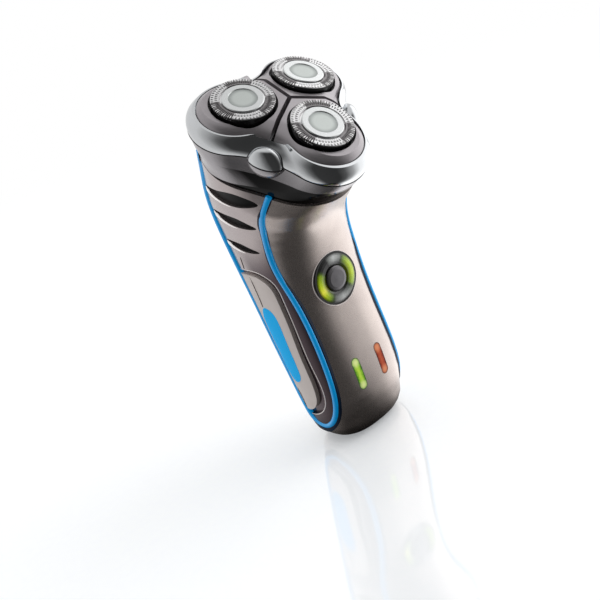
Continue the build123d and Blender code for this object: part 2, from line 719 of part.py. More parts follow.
# ---------------------------------------------------------------- head: shaving unit frame
BUMP_R = 23.3                    # centre of a release bump, and its half axes
BUMP_H = -11.5
BUMP_SIZE = (3.6, 6.5, 6.0)
BUMP_AZIMUTHS = {"left": -150.0, "right": -30.0}
FLOOR_BORE = 8.6
ARM_HALF = 3.0
KNUCKLE_X = (3.4, 6.5)
PIVOT_R = 2.2
HOLDER_BOTTOM = -7.2


def in_head(shape):
    return shape.moved(HEAD)


def bump(azimuth, grow=0.0, inward=0.0):
    """Ellipsoid of a release bump, larger by grow and pushed inward."""
    ball = Solid.make_sphere(1.0, angle1=-90, angle2=90, angle3=360)
    a, b, c = (size + grow for size in BUMP_SIZE)
    ball = scale(ball, by=(a, b, c))
    place = Location((0, 0, 0), (0, 0, azimuth)) * Location((BUMP_R - inward, 0, BUMP_H))
    return ball.moved(place)


def yh_prism(points, x0, x1):
    """Prism along X from (y, h) points of the head frame."""
    face = Face(Wire.make_polygon([Vector(x0, y, h) for y, h in points], close=True))
    return Solid.extrude(face, Vector(x1 - x0, 0, 0))


lower_seam = above_seam(RING_BOTTOM)
frame = trefoil_loft(RING_ROWS)
frame = (frame & lower_seam) - above_seam(RING_TOP)
frame = frame - trefoil_prism(*POCKET, FLOOR_H, 5)
frame = frame - trefoil_prism(20.0, 13.4, 49.5, -20, FLOOR_H - FLOOR_THICK)
centre, lobe, hollow = POCKET
floor = trefoil_prism(centre, lobe + 0.3, hollow - 0.3, FLOOR_H - FLOOR_THICK, FLOOR_H)
frame = frame + floor
for azimuth in GUARDS.values():
    bore = rod(FLOOR_BORE, FLOOR_H - 5, FLOOR_H + 2, SPINDLE_CIRCLE)
    frame = frame - bore.moved(Location((0, 0, 0), (0, 0, azimuth)))
frame = frame + rod(PIVOT_R, FLOOR_H - 0.2, HOLDER_BOTTOM - 0.5)
cavity = trefoil_prism(*POCKET, FLOOR_H, 5)
for azimuth in BUMP_AZIMUTHS.values():
    frame = frame + ((bump(azimuth) & lower_seam) - cavity - rod(20.6, -30, 0))
arm = yh_prism([(20.4, -10.4), (26.0, -10.6), (28.0, -12.8), (29.9, -12.8), (29.2, -11.2),
                (27.0, -9.4), (20.4, -8.2)], -ARM_HALF, ARM_HALF)
barrel = rod_along(HINGE_R, (-ARM_HALF, HINGE_Y, HINGE_H), (1, 0, 0), 2 * ARM_HALF)
frame = frame + ((arm + barrel) - cavity)
frame = frame - rod_along(HINGE_PIN_R + FIT, (-10, HINGE_Y, HINGE_H), (1, 0, 0), 20)
frame = largest(frame)
write(in_head(frame), "shaving_unit_frame")

# ---------------------------------------------------------------- head: collar and neck
collar = trefoil_loft(COLLAR_ROWS) - trefoil_loft(COLLAR_ROWS, WALL)
collar = collar - above_seam(RING_BOTTOM - UNIT_GAP) - rod(20.8, -11.7, 5)
band_zone = yh_prism([(-50, -16.1), (6, NECK_H), (6, -40), (-50, -40)], -50, 50)
collar = collar - band_zone
for side in (-1, 1):
    low, high = sorted((side * KNUCKLE_X[0], side * KNUCKLE_X[1]))
    knuckle = yh_prism([(21.4, -14.6), (HINGE_Y, HINGE_H - HINGE_R), (HINGE_Y, -12.4),
                        (21.0, -12.4)], low, high)
    knuckle = knuckle + rod_along(HINGE_R, (low, HINGE_Y, HINGE_H), (1, 0, 0), high - low)
    collar = collar + knuckle
collar = collar - rod_along(HINGE_PIN_R, (-7, HINGE_Y, HINGE_H), (1, 0, 0), 14)
deck = trefoil_loft(COLLAR_ROWS, WALL) & block(-50, 50, -50, 50, DECK_TOP - DECK_THICK, DECK_TOP)
for azimuth in GUARDS.values():
    turn = Location((0, 0, 0), (0, 0, azimuth))
    boss = rod(3.4, DECK_TOP - 0.1, -12.4, SPINDLE_CIRCLE).moved(turn)
    deck = deck + boss
    deck = deck - rod(SHAFT_R + FIT, -30, 0, SPINDLE_CIRCLE).moved(turn)
for name, azimuth in BUMP_AZIMUTHS.items():
    pocket = bump(azimuth, PLAY) + bump(azimuth, PLAY, RELEASE_TRAVEL)
    collar = collar - pocket
    deck = deck - pocket
    button = bump(azimuth) - above_seam(RING_BOTTOM - UNIT_GAP)
    button = button - block(-50, 50, -50, 50, FLOOR_H - FLOOR_THICK - PLAY, 0)
    write(in_head(largest(button)), f"release_button_{name}")
write(in_head(largest(collar)), "collar")
write(in_head(largest(deck)), "drive_deck")
pin = rod_along(HINGE_PIN_R, (-KNUCKLE_X[1], HINGE_Y, HINGE_H), (1, 0, 0), 2 * KNUCKLE_X[1])
write(in_head(pin), "unit_hinge_pin")

BAND_INSET = 1.3
SLEEVE = (WALL + FIT, WALL + 1.0)
SLEEVE_BOTTOM = -26.8
_, centre, lobe, hollow = COLLAR_ROWS[-1]


def neck_prism(inset, h0, h1):
    """Prism with the outline of the neck's lower edge."""
    return trefoil_prism(COLLAR_ROWS[-1][1], COLLAR_ROWS[-1][2] - inset,
                         COLLAR_ROWS[-1][3] + inset, h0, h1)


band = trefoil_loft(COLLAR_ROWS, BAND_INSET) - trefoil_loft(COLLAR_ROWS, WALL)
band = band & band_zone
flange = neck_prism(BAND_INSET, NECK_H - NECK_GAP, NECK_H)
sleeve = neck_prism(SLEEVE[0], SLEEVE_BOTTOM, NECK_H - NECK_GAP)
bore = neck_prism(SLEEVE[1], SLEEVE_BOTTOM, NECK_H)
band = in_head(band + (flange - bore)) + (in_head(sleeve - bore) & seat)
write(largest(band), "neck_band")


# ---------------------------------------------------------------- head: drive
def gear_outline(teeth, phase, h):
    """Involute outline; a tooth is centred on the direction phase, in degrees."""
    pitch = GEAR_MODULE * teeth / 2
    base = pitch * math.cos(PRESSURE_ANGLE)
    tip = pitch + ADDENDUM * GEAR_MODULE
    root = pitch - DEDENDUM * GEAR_MODULE
    half = (math.pi * pitch / teeth - BACKLASH) / 2 / pitch
    half += math.tan(PRESSURE_ANGLE) - PRESSURE_ANGLE
    flank = [(root, 0.0)]
    low = max(base, root)
    for k in range(FLANK_POINTS + 1):
        r = low + (tip - low) * k / FLANK_POINTS
        a = math.acos(min(1.0, base / r))
        flank.append((r, math.tan(a) - a))
    points = []
    for tooth in range(teeth):
        middle = math.radians(phase) + 2 * math.pi * tooth / teeth
        for r, roll in flank:
            points.append((r, middle - half + roll))
        for r, roll in reversed(flank):
            points.append((r, middle + half - roll))
    corners = [Vector(r * math.cos(t), r * math.sin(t), h) for r, t in points]
    return Face(Wire.make_polygon(corners, close=True))


PRESSURE_ANGLE = math.radians(25)
ADDENDUM = 0.7
DEDENDUM = 1.1
BACKLASH = 0.1
FLANK_POINTS = 3
MOTOR_SHAFT_R = 1.0
SHAFT_BOTTOM = -27.0
TIP_SQUARE = (-8.5, -6.4)
TIP_HALF = 1.3

pinion = Solid.extrude(gear_outline(PINION_TEETH, GUARDS["front"], -23.0), Vector(0, 0, 4.5))
motor_top = CARRIER_TOP - CARRIER_THICK - MOTOR_GAP
pinion = pinion + rod(MOTOR_SHAFT_R, motor_top - 2, -22.5)
write(in_head(one(pinion)), "motor_pinion")

can = rod(MOTOR_R, motor_top - MOTOR_LENGTH, motor_top)
can = can + rod(5.0, motor_top, motor_top + MOTOR_GAP)
can = can - rod(MOTOR_SHAFT_R + FIT, motor_top - 2.2, motor_top + 5)
can = can.fillet(1.0, can.edges().group_by(Axis.Z)[0])
write(in_head(one(can)), "motor")

carrier = neck_prism(SLEEVE[1], CARRIER_TOP - CARRIER_THICK, CARRIER_TOP)
carrier = carrier - rod(4.6, -40, 0)
seals = []
gear_phase = 180.0 + 180.0 / GEAR_TEETH
for name, azimuth in GUARDS.items():
    turn = Location((0, 0, 0), (0, 0, azimuth))
    gear = Solid.extrude(gear_outline(GEAR_TEETH, gear_phase, GEAR_TOP - GEAR_HEIGHT),
                         Vector(0, 0, GEAR_HEIGHT))
    gear = gear + rod(SHAFT_R, SHAFT_BOTTOM, TIP_SQUARE[0])
    gear = gear + block(-TIP_HALF, TIP_HALF, -TIP_HALF, TIP_HALF, *TIP_SQUARE)
    write(on_spindle(one(gear), azimuth), f"drive_gear_{name}")
    carrier = carrier - rod(SHAFT_R + FIT, -40, 0, SPINDLE_CIRCLE).moved(turn)
    seal = rod(3.2, -12.4, -11.9) - rod(SHAFT_R + FIT, -13, 0)
    seals.append(on_spindle(one(seal), azimuth))
write(one(in_head(carrier) & seat), "gear_carrier")
write(Compound(seals), "spindle_seals")

# ---------------------------------------------------------------- head: retaining frame
plate = trefoil_prism(20.0, 10.6, 52.4, RETAINER_H - RETAINER_THICK, RETAINER_H)
for azimuth in GUARDS.values():
    hole = rod(6.0, -20, 0, SPINDLE_CIRCLE).moved(Location((0, 0, 0), (0, 0, azimuth)))
    plate = plate - hole
WHEEL_R = 4.5
WHEEL_BOTTOM = -14.6
AXLE_R = 1.2
plate = plate - rod(AXLE_R + FIT, -20, 0)
write(in_head(one(plate)), "retaining_frame")
wheel_top = RETAINER_H - RETAINER_THICK - 0.1
wheel = rod(WHEEL_R, WHEEL_BOTTOM, wheel_top) + rod(AXLE_R, wheel_top - 0.1, RETAINER_H - 0.1)
wheel = wheel - block(-0.8, 0.8, -WHEEL_R, WHEEL_R, WHEEL_BOTTOM - 1, WHEEL_BOTTOM + 0.9)
for k in range(12):
    notch = rod(0.5, WHEEL_BOTTOM - 1, wheel_top + 0.05, WHEEL_R)
    wheel = wheel - notch.moved(Location((0, 0, 0), (0, 0, 15 + 30 * k)))
write(in_head(one(wheel)), "retaining_wheel")

# ---------------------------------------------------------------- head: guard holders
PETAL_CENTRE = 18.3
PETAL_ROWS = [(HOLDER_BOTTOM, 13.95), (-5.2, 13.95), (-4.2, 13.3), (-3.2, 12.2),
              (-2.2, 10.6), (-1.0, 8.2), (0.6, 4.0)]
PETAL_GAP = 0.8                  # half the width of the groove between two holders
FLANGE_TOP = -4.4

petals = trefoil_loft([(h, PETAL_CENTRE, r, 32.4 - r) for h, r in PETAL_ROWS])
seat = Location((GUARD_CIRCLE, 0, 0), (0, GUARD_SPLAY, 0))
reach = 60.0
corner = Vector(PETAL_GAP / math.sin(math.radians(60)), 0, -20)
sector = Solid.extrude(
    Face(Wire.make_polygon([
        corner,
        corner + Vector(reach * 0.5, reach * math.sin(math.radians(60)), 0),
        corner + Vector(reach * 1.5, 0, 0),
        corner + Vector(reach * 0.5, -reach * math.sin(math.radians(60)), 0),
    ], close=True)),
    Vector(0, 0, 40),
)
petal = petals.moved(Location((0, 0, 0), (0, 0, 90))) & sector
petal = petal - block(-50, 50, -50, 50, -GUARD_PROUD, 30).moved(seat)
petal = petal - rod(HOLDER_BORE, -20, 10).moved(seat)
petal = petal - rod(FLANGE_R + 0.1, -20, FLANGE_TOP).moved(seat)
petal = largest(petal)

# ---------------------------------------------------------------- head: guards and cutters
rim_top = GUARD_WALL + 0.05
guard = turned_profile([
    (CAP_GROOVE_R, 0),
    (GUARD_R - 0.35, 0),
    (GUARD_R, -0.35),
    (GUARD_R, FLANGE_TOP),
    (FLANGE_R, FLANGE_TOP),
    (FLANGE_R, -GUARD_DEPTH),
    (GUARD_R - GUARD_WALL, -GUARD_DEPTH),
    (GUARD_R - GUARD_WALL, -rim_top),
    (CAP_GROOVE_R + 0.4, -rim_top),
    (CAP_GROOVE_R + 0.4, -1.2),
    (CAP_R - 1.4, -1.2),
    (CAP_R - 1.4, -0.8),
    (CAP_GROOVE_R, -0.8),
])
SLIT_WIDTH = 0.35
LONG_SLIT = (CAP_GROOVE_R + 0.5, GUARD_R + 0.01, SLIT_WIDTH)
LONG_PITCH = 4.0
inner_row = CAP_GROOVE_R + 0.6
outer_row = CAP_GROOVE_R + 2.0
SHORT_SLITS = ((inner_row, inner_row + 1.0, 0.0), (outer_row, outer_row + 0.9, 0.5))
SHORT_PITCH = 6.5
ZONE = 60.0                      # long and short slits change places this often, degrees
slits = []


def slit(r0, r1, width, angle):
    return block(r0, r1, -width / 2, width / 2, -0.9, 1).moved(Location((0, 0, 0), (0, 0, angle)))


for zone in range(3):
    start = 2 * zone * ZONE
    for k in range(int(ZONE / LONG_PITCH)):
        slits.append(slit(*LONG_SLIT, start + (k + 0.5) * LONG_PITCH))
    for r0, r1, shift in SHORT_SLITS:
        for k in range(int(ZONE / SHORT_PITCH)):
            angle = start + ZONE + (k + 0.5 + shift) * SHORT_PITCH
            slits.append(slit(r0, r1, SLIT_WIDTH, angle))
guard = one(guard - Compound(slits))
cap = turned_profile([
    (0, -0.8),
    (CAP_R, -0.8),
    (CAP_R, 0.1),
    (CAP_R - 0.3, 0.35),
    (CAP_R - 2.25, 0.35),
    (CAP_R - 2.45, 0.1),
    (0, 0.1),
])

fins = []
for k in range(CUTTER_BLADES):
    fin = block(CUTTER_INNER, CUTTER_R, -0.3, 0.3, -2.6, -rim_top - 0.05)
    fins.append(fin.moved(Location((0, 0, 0), (0, 0, 360 * k / CUTTER_BLADES))))
cutter = rod(CUTTER_R, -3.4, -2.4) + Compound(fins)
cutter = cutter + rod(3.4, -8.4, -3.3)
cutter = cutter - block(-2.35, 2.35, -2.35, 2.35, -9, -5.0)
cutter = one(cutter)

for name, azimuth in GUARDS.items():
    write(in_head(petal.moved(Location((0, 0, 0), (0, 0, azimuth)))), f"holder_{name}")
    write(on_guard(guard, azimuth), f"guard_{name}")
    write(on_guard(cap, azimuth), f"guard_cap_{name}")
    write(on_guard(cutter, azimuth), f"cutter_{name}")
print("head done")
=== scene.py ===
# %% [markdown]
# # An electric shaver
# The shaver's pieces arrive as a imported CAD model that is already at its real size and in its
# real place. Blender gives them their finishes and adds the thin things that are easier to
# draw as curves: the soft blue piping, the bright lips, the parting lines and the seal.

import json
import math

import bmesh
import bpy
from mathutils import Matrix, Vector
from mathutils.bvhtree import BVHTree


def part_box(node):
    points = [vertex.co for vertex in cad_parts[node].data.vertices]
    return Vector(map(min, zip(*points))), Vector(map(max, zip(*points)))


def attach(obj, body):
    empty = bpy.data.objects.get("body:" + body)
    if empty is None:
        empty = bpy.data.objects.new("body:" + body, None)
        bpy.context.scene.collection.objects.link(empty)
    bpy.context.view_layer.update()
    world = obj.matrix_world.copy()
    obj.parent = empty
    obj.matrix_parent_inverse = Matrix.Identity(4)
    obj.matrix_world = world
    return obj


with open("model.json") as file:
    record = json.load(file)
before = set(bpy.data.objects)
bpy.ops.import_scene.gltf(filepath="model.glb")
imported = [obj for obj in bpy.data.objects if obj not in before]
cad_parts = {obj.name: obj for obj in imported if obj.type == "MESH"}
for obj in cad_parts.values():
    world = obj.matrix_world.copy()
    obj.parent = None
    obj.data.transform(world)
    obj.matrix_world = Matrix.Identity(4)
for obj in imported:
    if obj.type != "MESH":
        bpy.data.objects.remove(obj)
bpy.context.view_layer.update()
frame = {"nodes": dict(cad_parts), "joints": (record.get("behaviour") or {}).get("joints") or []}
nodes = frame["nodes"]
bpy.context.scene.view_settings.view_transform = "Standard"

# %% [markdown]
# Every measure below is written in millimetres, because that is how a shaver is drawn, and is
# turned into Blender's metres in one place. The two sides of the handle are mirror images, so
# each of them is known by the sign of its X. The three cutting heads are known by their place.

# %% Units and sides
MM = 0.001
SIDES = {"left": -1, "right": 1}
HEADS = ("front", "left", "right")
print("one millimetre is", MM, "Blender units")

# %% [markdown]
# A camera a short distance away and slightly rolled gives the lively product view: the three
# guards at the top, the handle falling away to the foot. It is a 51 mm lens at about 36 cm.

# %% Camera
CAMERA_PLACE = (-182.20, -254.85, 185.04)
CAMERA_DEGREES = (66.9125, 17.0518, -41.0509)
CAMERA_LENS = 51.0
SENSOR_WIDTH = 36.0
NEAREST_SEEN = 10.0
camera_data = bpy.data.cameras.new("camera")
camera_data.lens = CAMERA_LENS
camera_data.sensor_width = SENSOR_WIDTH
camera_data.clip_start = NEAREST_SEEN * MM
camera = bpy.data.objects.new("camera", camera_data)
camera.location = Vector(CAMERA_PLACE) * MM
camera.rotation_euler = [math.radians(angle) for angle in CAMERA_DEGREES]
bpy.context.scene.collection.objects.link(camera)
bpy.context.scene.camera = camera
print("camera", round(camera.location.length / MM), "mm from the foot")

# %% [markdown]
# Colours are written as sRGB hex values, the way a paint chart gives them, and one function
# turns them into the linear numbers that the shaders want. A second function adds any node
# with its settings, and links it where a value is another node's output.


# %% Colour and node helpers
def colour(code):
    """Linear RGBA from an sRGB hex value."""
    values = [int(code[k:k + 2], 16) / 255 for k in (1, 3, 5)]
    linear = [v / 12.92 if v <= 0.04045 else ((v + 0.055) / 1.055) ** 2.4 for v in values]
    return (*linear, 1.0)


def add(tree, kind, sockets=None, **settings):
    """Adds a node with its settings; a socket takes a value or another node's output."""
    node = tree.nodes.new(kind)
    for name, value in settings.items():
        setattr(node, name, value)
    for name, value in (sockets or {}).items():
        if isinstance(value, bpy.types.NodeSocket):
            tree.links.new(value, node.inputs[name])
        else:
            node.inputs[name].default_value = value
    return node


def new_material(name):
    """An empty node material with its output and its principled shader."""
    material = bpy.data.materials.new(name)
    material.use_nodes = True
    tree = material.node_tree
    tree.nodes.clear()
    shader = add(tree, "ShaderNodeBsdfPrincipled")
    add(tree, "ShaderNodeOutputMaterial", {"Surface": shader.outputs[0]})
    return material, tree, shader


def ramp(tree, factor, stops):
    """A colour ramp from (position, colour or grey value) stops."""
    node = add(tree, "ShaderNodeValToRGB", {"Fac": factor})
    while len(node.color_ramp.elements) < len(stops):
        node.color_ramp.elements.new(0.5)
    for element, (position, code) in zip(node.color_ramp.elements, stops):
        element.position = position
        element.color = colour(code) if isinstance(code, str) else (code, code, code, 1)
    return node.outputs["Color"]


def framed(tree, origin, up, ahead):
    """Coordinates of the surface in a frame at origin: Z along up, X towards ahead."""
    up = Vector(up).normalized()
    side = up.cross(Vector(ahead)).normalized()
    place = add(tree, "ShaderNodeTexCoord").outputs["Object"]
    offset = add(tree, "ShaderNodeVectorMath", {0: place, 1: origin}, operation="SUBTRACT")
    along = {}
    for letter, axis in (("X", side.cross(up)), ("Y", side), ("Z", up)):
        dot = add(tree, "ShaderNodeVectorMath", {0: offset.outputs["Vector"], 1: axis},
                  operation="DOT_PRODUCT")
        along[letter] = dot.outputs["Value"]
    return along


def compute(tree, operation, *values):
    """The result of one arithmetic step."""
    return add(tree, "ShaderNodeMath", dict(enumerate(values)),
               operation=operation).outputs["Value"]


def off_axis(tree, at):
    """Distance from the Z axis of a frame made by framed()."""
    squares = [compute(tree, "POWER", at[letter], 2.0) for letter in ("X", "Y")]
    return compute(tree, "SQRT", compute(tree, "ADD", *squares))


def stepped(tree, value, start, end, low=0.0, high=1.0):
    """Goes softly from low to high while value goes from start to end."""
    return add(tree, "ShaderNodeMapRange",
               {"Value": value, "From Min": start, "From Max": end, "To Min": low,
                "To Max": high}, interpolation_type="SMOOTHSTEP").outputs["Result"]


def blend(tree, share, first, second):
    """Mixes two colours, each a hex value or another node's output."""
    first, second = [colour(c) if isinstance(c, str) else c for c in (first, second)]
    return add(tree, "ShaderNodeMix", {0: share, 6: first, 7: second},
               data_type="RGBA").outputs[2]


print("helpers ready")

# %% [markdown]
# The handle is a skin drawn over many cross-sections, and each strip of it arrives with its
# own shading, so a polished surface would show every strip. A small geometry-nodes group
# joins the strips and shades across each edge that turns by less than the crease angle. It
# changes how light falls on the piece, and no point moves by more than 0.002 mm.

# %% Shade across the strips
CREASE_DEGREES = 26
SAME_PLACE = 0.002
evener = bpy.data.node_groups.new("even_shading", "GeometryNodeTree")
for way in ("INPUT", "OUTPUT"):
    evener.interface.new_socket("Geometry", in_out=way, socket_type="NodeSocketGeometry")
arriving = evener.nodes.new("NodeGroupInput").outputs[0]
joined = add(evener, "GeometryNodeMergeByDistance",
             {"Geometry": arriving, "Distance": SAME_PLACE * MM})
turn = add(evener, "GeometryNodeInputMeshEdgeAngle").outputs["Unsigned Angle"]
crease = compute(evener, "GREATER_THAN", turn, math.radians(CREASE_DEGREES))
shaded = add(evener, "GeometryNodeSetMeshNormal",
             {"Mesh": joined.outputs[0], "Remove Custom": True, "Edge Sharpness": crease})
leaving = evener.nodes.new("NodeGroupOutput")
evener.links.new(shaded.outputs[0], leaving.inputs[0])
skins = ["front_shell", "back_shell", "trimmer_cover", "collar", "shaving_unit_frame",
         "neck_band", *(f"{piece}_{side}" for side in SIDES
                        for piece in ("side_panel", "piping", "grip_pad", "grip_insert")),
         *(f"holder_{place}" for place in HEADS)]
for name in skins:
    nodes[name].modifiers.new("even_shading", "NODES").node_group = evener
print(len(skins), "pieces shade across their strips")

# %% [markdown]
# A product studio is mostly white, with one large bright sheet of light. The side on which the
# camera stands is unlit, and that dark side is what draws the shapes in the lacquer and the
# chrome. Below the ceiling, which is an even grey, the brightness depends only on the compass
# angle, so one function serves both the dome and what the floor shows in a reflection. Angles
# run from the middle of the dark side; brightness 1 is white paper.

# %% Brightness round the compass
DARK_SIDE = math.radians(-120)
BRIGHTEST = 1.6
COMPASS = [(-180, 0.85), (-95, 0.8), (-62, 0.5), (-42, 0.18), (-26, 0.05), (24, 0.04),
           (40, 0.12), (58, 0.5), (76, 1.35), (100, 1.6), (143, 1.6), (146, 0.8), (180, 0.85)]
CEILING_FROM, CEILING_FULL = 0.6, 0.95
CEILING_GREY = 0.5


def studio_light(tree, place):
    """Brightness of the studio towards a place, as a share of BRIGHTEST."""
    turned = add(tree, "ShaderNodeVectorRotate", {"Vector": place, "Angle": -DARK_SIDE},
                 rotation_type="Z_AXIS")
    split = add(tree, "ShaderNodeSeparateXYZ", {"Vector": turned.outputs["Vector"]})
    angle = compute(tree, "ARCTAN2", split.outputs["Y"], split.outputs["X"])
    turn = add(tree, "ShaderNodeMapRange",
               {"Value": angle, "From Min": -math.pi, "From Max": math.pi})
    stops = [((degrees + 180) / 360, value / BRIGHTEST) for degrees, value in COMPASS]
    return ramp(tree, turn.outputs["Result"], stops)


world = bpy.data.worlds.new("studio_dome")
bpy.context.scene.world = world
world.use_nodes = True
tree = world.node_tree
tree.nodes.clear()
direction = add(tree, "ShaderNodeTexCoord").outputs["Generated"]
height = add(tree, "ShaderNodeSeparateXYZ", {"Vector": direction}).outputs["Z"]
overhead = stepped(tree, height, CEILING_FROM, CEILING_FULL)
ceiling = (CEILING_GREY, CEILING_GREY, CEILING_GREY, 1)
shade = blend(tree, overhead, studio_light(tree, direction), ceiling)
dome = add(tree, "ShaderNodeBackground", {"Color": shade, "Strength": BRIGHTEST})
backdrop = add(tree, "ShaderNodeBackground", {"Color": (1, 1, 1, 1), "Strength": 1.0})
rays = add(tree, "ShaderNodeLightPath")
seen = compute(tree, "MAXIMUM", rays.outputs["Is Camera Ray"],
               rays.outputs["Is Transmission Ray"])
mixed = add(tree, "ShaderNodeMixShader", {0: seen, 1: dome.outputs[0],
                                          2: backdrop.outputs[0]})
add(tree, "ShaderNodeOutputWorld", {"Surface": mixed.outputs[0]})
print("dome ready")

# %% [markdown]
# The floor is white board with a thin gloss. Where it is looked at, it is board: it keeps the
# shaver's soft shadow and a faint mirror image, and a little of its own light lifts it to
# paper white. Where it shows in a reflection, it carries the brightness of the studio, which
# fades out close to the foot, because that is the ground that the shaver itself shades. Far
# from the foot the board turns into the white of the backdrop, so that no horizon shows.

# %% Floor
HALF_FLOOR = 4000.0
UNDER_FOOT = 0.05
BOARD_LIFT = 0.31
BOARD_TOOTH = 3.0
SHADED_RADIUS, CLEAR_RADIUS = 14, 42
SHADED_LEVEL = 0.12
FADE_FROM, FADE_FULL = 300.0, 900.0
floor_mesh = bpy.data.meshes.new("floor")
corners = [(-1, -1), (1, -1), (1, 1), (-1, 1)]
floor_mesh.from_pydata([(x * HALF_FLOOR * MM, y * HALF_FLOOR * MM, -UNDER_FOOT * MM)
                        for x, y in corners], [], [(0, 1, 2, 3)])
floor = bpy.data.objects.new("floor", floor_mesh)
bpy.context.scene.collection.objects.link(floor)
board, tree, shader = new_material("white_studio_board")
floor_mesh.materials.append(board)
place = add(tree, "ShaderNodeTexCoord").outputs["Object"]
tooth = add(tree, "ShaderNodeTexNoise", {"Vector": place, "Scale": 1 / (BOARD_TOOTH * MM)})
tree.links.new(ramp(tree, tooth.outputs["Fac"], [(0.3, "#eff0f1"), (0.7, "#f1f2f3")]),
               shader.inputs["Base Color"])
shader.inputs["Roughness"].default_value = 0.06
shader.inputs["Specular IOR Level"].default_value = 1.0
shader.inputs["IOR"].default_value = 1.85
shader.inputs["Emission Color"].default_value = colour("#f6fafd")
shader.inputs["Emission Strength"].default_value = BOARD_LIFT
distance = add(tree, "ShaderNodeVectorMath", {0: place}, operation="LENGTH").outputs["Value"]
clear = stepped(tree, distance, SHADED_RADIUS * MM, CLEAR_RADIUS * MM, SHADED_LEVEL, BRIGHTEST)
reflected = add(tree, "ShaderNodeEmission", {"Color": studio_light(tree, place),
                                             "Strength": clear})
far = stepped(tree, distance, FADE_FROM * MM, FADE_FULL * MM)
horizon = add(tree, "ShaderNodeEmission", {"Color": (1, 1, 1, 1), "Strength": 1.0})
looked_at = add(tree, "ShaderNodeMixShader", {0: far, 1: shader.outputs[0],
                                              2: horizon.outputs[0]})
rays = add(tree, "ShaderNodeLightPath")
both = add(tree, "ShaderNodeMixShader", {0: rays.outputs["Is Camera Ray"],
                                         1: reflected.outputs[0], 2: looked_at.outputs[0]})
output = next(node for node in tree.nodes if node.type == "OUTPUT_MATERIAL")
tree.links.new(both.outputs[0], output.inputs["Surface"])
print("floor ready")

# %% [markdown]
# One soft lamp stands above and to the right and gives the shadow on the floor its direction.
# It stays out of reflections, where its disc would burn a white spot into the steel.

# %% Key light
KEY_PLACE = (420, -160, 520)
KEY_AIM = (0, 0, 80)
KEY_WIDTH = 420
KEY_WATTS = 0.8
key_data = bpy.data.lights.new("key", "AREA")
key_data.shape = "DISK"
key_data.size = KEY_WIDTH * MM
key_data.energy = KEY_WATTS
key = bpy.data.objects.new("key", key_data)
key.location = Vector(KEY_PLACE) * MM
key.visible_glossy = False
key.rotation_euler = (Vector(KEY_AIM) * MM - key.location).to_track_quat("-Z", "Y").to_euler()
bpy.context.scene.collection.objects.link(key)
print("key light placed")

# %% [markdown]
# Most moulded and sprayed surfaces share one recipe: an even colour that drifts a little from
# place to place, and a grain that is too fine to see as bumps but softens every reflection.
# The grain's size is given in millimetres. What differs from finish to finish is the colour,
# how metallic it is and how rough.

# %% Recipe for an even surface with a fine grain
DRIFT = 9.0
GRAIN_SPREAD = 0.03


def even_surface(name, dark, light, rough, grain_mm, grain_height_mm, **fixed):
    """Moulded, sprayed or ground surface; fixed values go straight on the shader's sockets."""
    material, tree, shader = new_material(name)
    place = add(tree, "ShaderNodeTexCoord").outputs["Object"]
    drift = add(tree, "ShaderNodeTexNoise",
                {"Vector": place, "Scale": 1 / (DRIFT * MM), "Detail": 3.0})
    grain = add(tree, "ShaderNodeTexNoise",
                {"Vector": place, "Scale": 1 / (grain_mm * MM), "Detail": 2.0})
    tint = ramp(tree, drift.outputs["Fac"], [(0.3, dark), (0.7, light)])
    soft = add(tree, "ShaderNodeMapRange",
               {"Value": grain.outputs["Fac"], "To Min": rough - GRAIN_SPREAD,
                "To Max": rough + GRAIN_SPREAD})
    bump = add(tree, "ShaderNodeBump",
               {"Height": grain.outputs["Fac"], "Strength": 0.5,
                "Distance": grain_height_mm * MM})
    tree.links.new(tint, shader.inputs["Base Color"])
    tree.links.new(soft.outputs["Result"], shader.inputs["Roughness"])
    tree.links.new(bump.outputs["Normal"], shader.inputs["Normal"])
    for socket, value in fixed.items():
        shader.inputs[socket.replace("_", " ")].default_value = value
    return material


def paint(material, *names):
    """Puts one material on CAD pieces."""
    for name in names:
        mesh = nodes[name].data
        mesh.materials.clear()
        mesh.materials.append(material)


def overlay(material, code, share_of):
    """Turns part of a finished surface to another colour; share_of(tree) says where."""
    tree = material.node_tree
    shader = next(node for node in tree.nodes if node.type == "BSDF_PRINCIPLED")
    before = shader.inputs["Base Color"].links[0].from_socket
    tree.links.new(blend(tree, share_of(tree), before, code), shader.inputs["Base Color"])


print("recipe ready")

# %% [markdown]
# The front and back shells are ABS sprayed with a fine aluminium-flake lacquer under a clear
# coat: a warm taupe that reflects the studio almost like brushed metal. The flakes are far
# too fine to draw, so they only soften the reflections.

# %% Flake lacquer on the shells
taupe_lacquer = even_surface("taupe_flake_lacquer", "#c8bcb7", "#d1c5bf", 0.28, 0.3, 0.0015,
                             Metallic=0.85, Coat_Weight=0.12, Coat_Roughness=0.15)
paint(taupe_lacquer, "front_shell", "back_shell", "trimmer_cover")
print("lacquered the shells")

# %% [markdown]
# The side panels carry the same lacquer with less clear coat, so their reflections are
# softer. Round the channel in which the grip pad lies, and forward to the piping, the
# lacquer's colour is darkened to a dark plum, softly towards the neck: this is painted shade,
# standing for the dark side of the studio that this forward-turning strip reflects. The grip
# pads are a light soft-touch rubber with a fine matte grain.

# %% Side panels and rubber pads
panel_lacquer_painted_shade = even_surface("satin_flake_lacquer_painted_shade", "#b9aeae", "#c1b6b5", 0.25, 0.3, 0.002,
                             Metallic=0.85, Coat_Weight=0.2, Coat_Roughness=0.1)
SHADE_FROM, SHADE_FULL = 93, 74
SHADE_REAR, SHADE_FRONT = 15, 7


def painted_shade_lower_front(tree):
    """Share of the painted shade: all of it low down and forward of the pad."""
    at = framed(tree, (0, 0, 0), (0, 0, 1), (0, -1, 0))
    down = stepped(tree, at["Z"], SHADE_FULL * MM, SHADE_FROM * MM, 1, 0)
    forward = stepped(tree, at["X"], -SHADE_REAR * MM, -SHADE_FRONT * MM)
    return compute(tree, "MULTIPLY", down, forward)
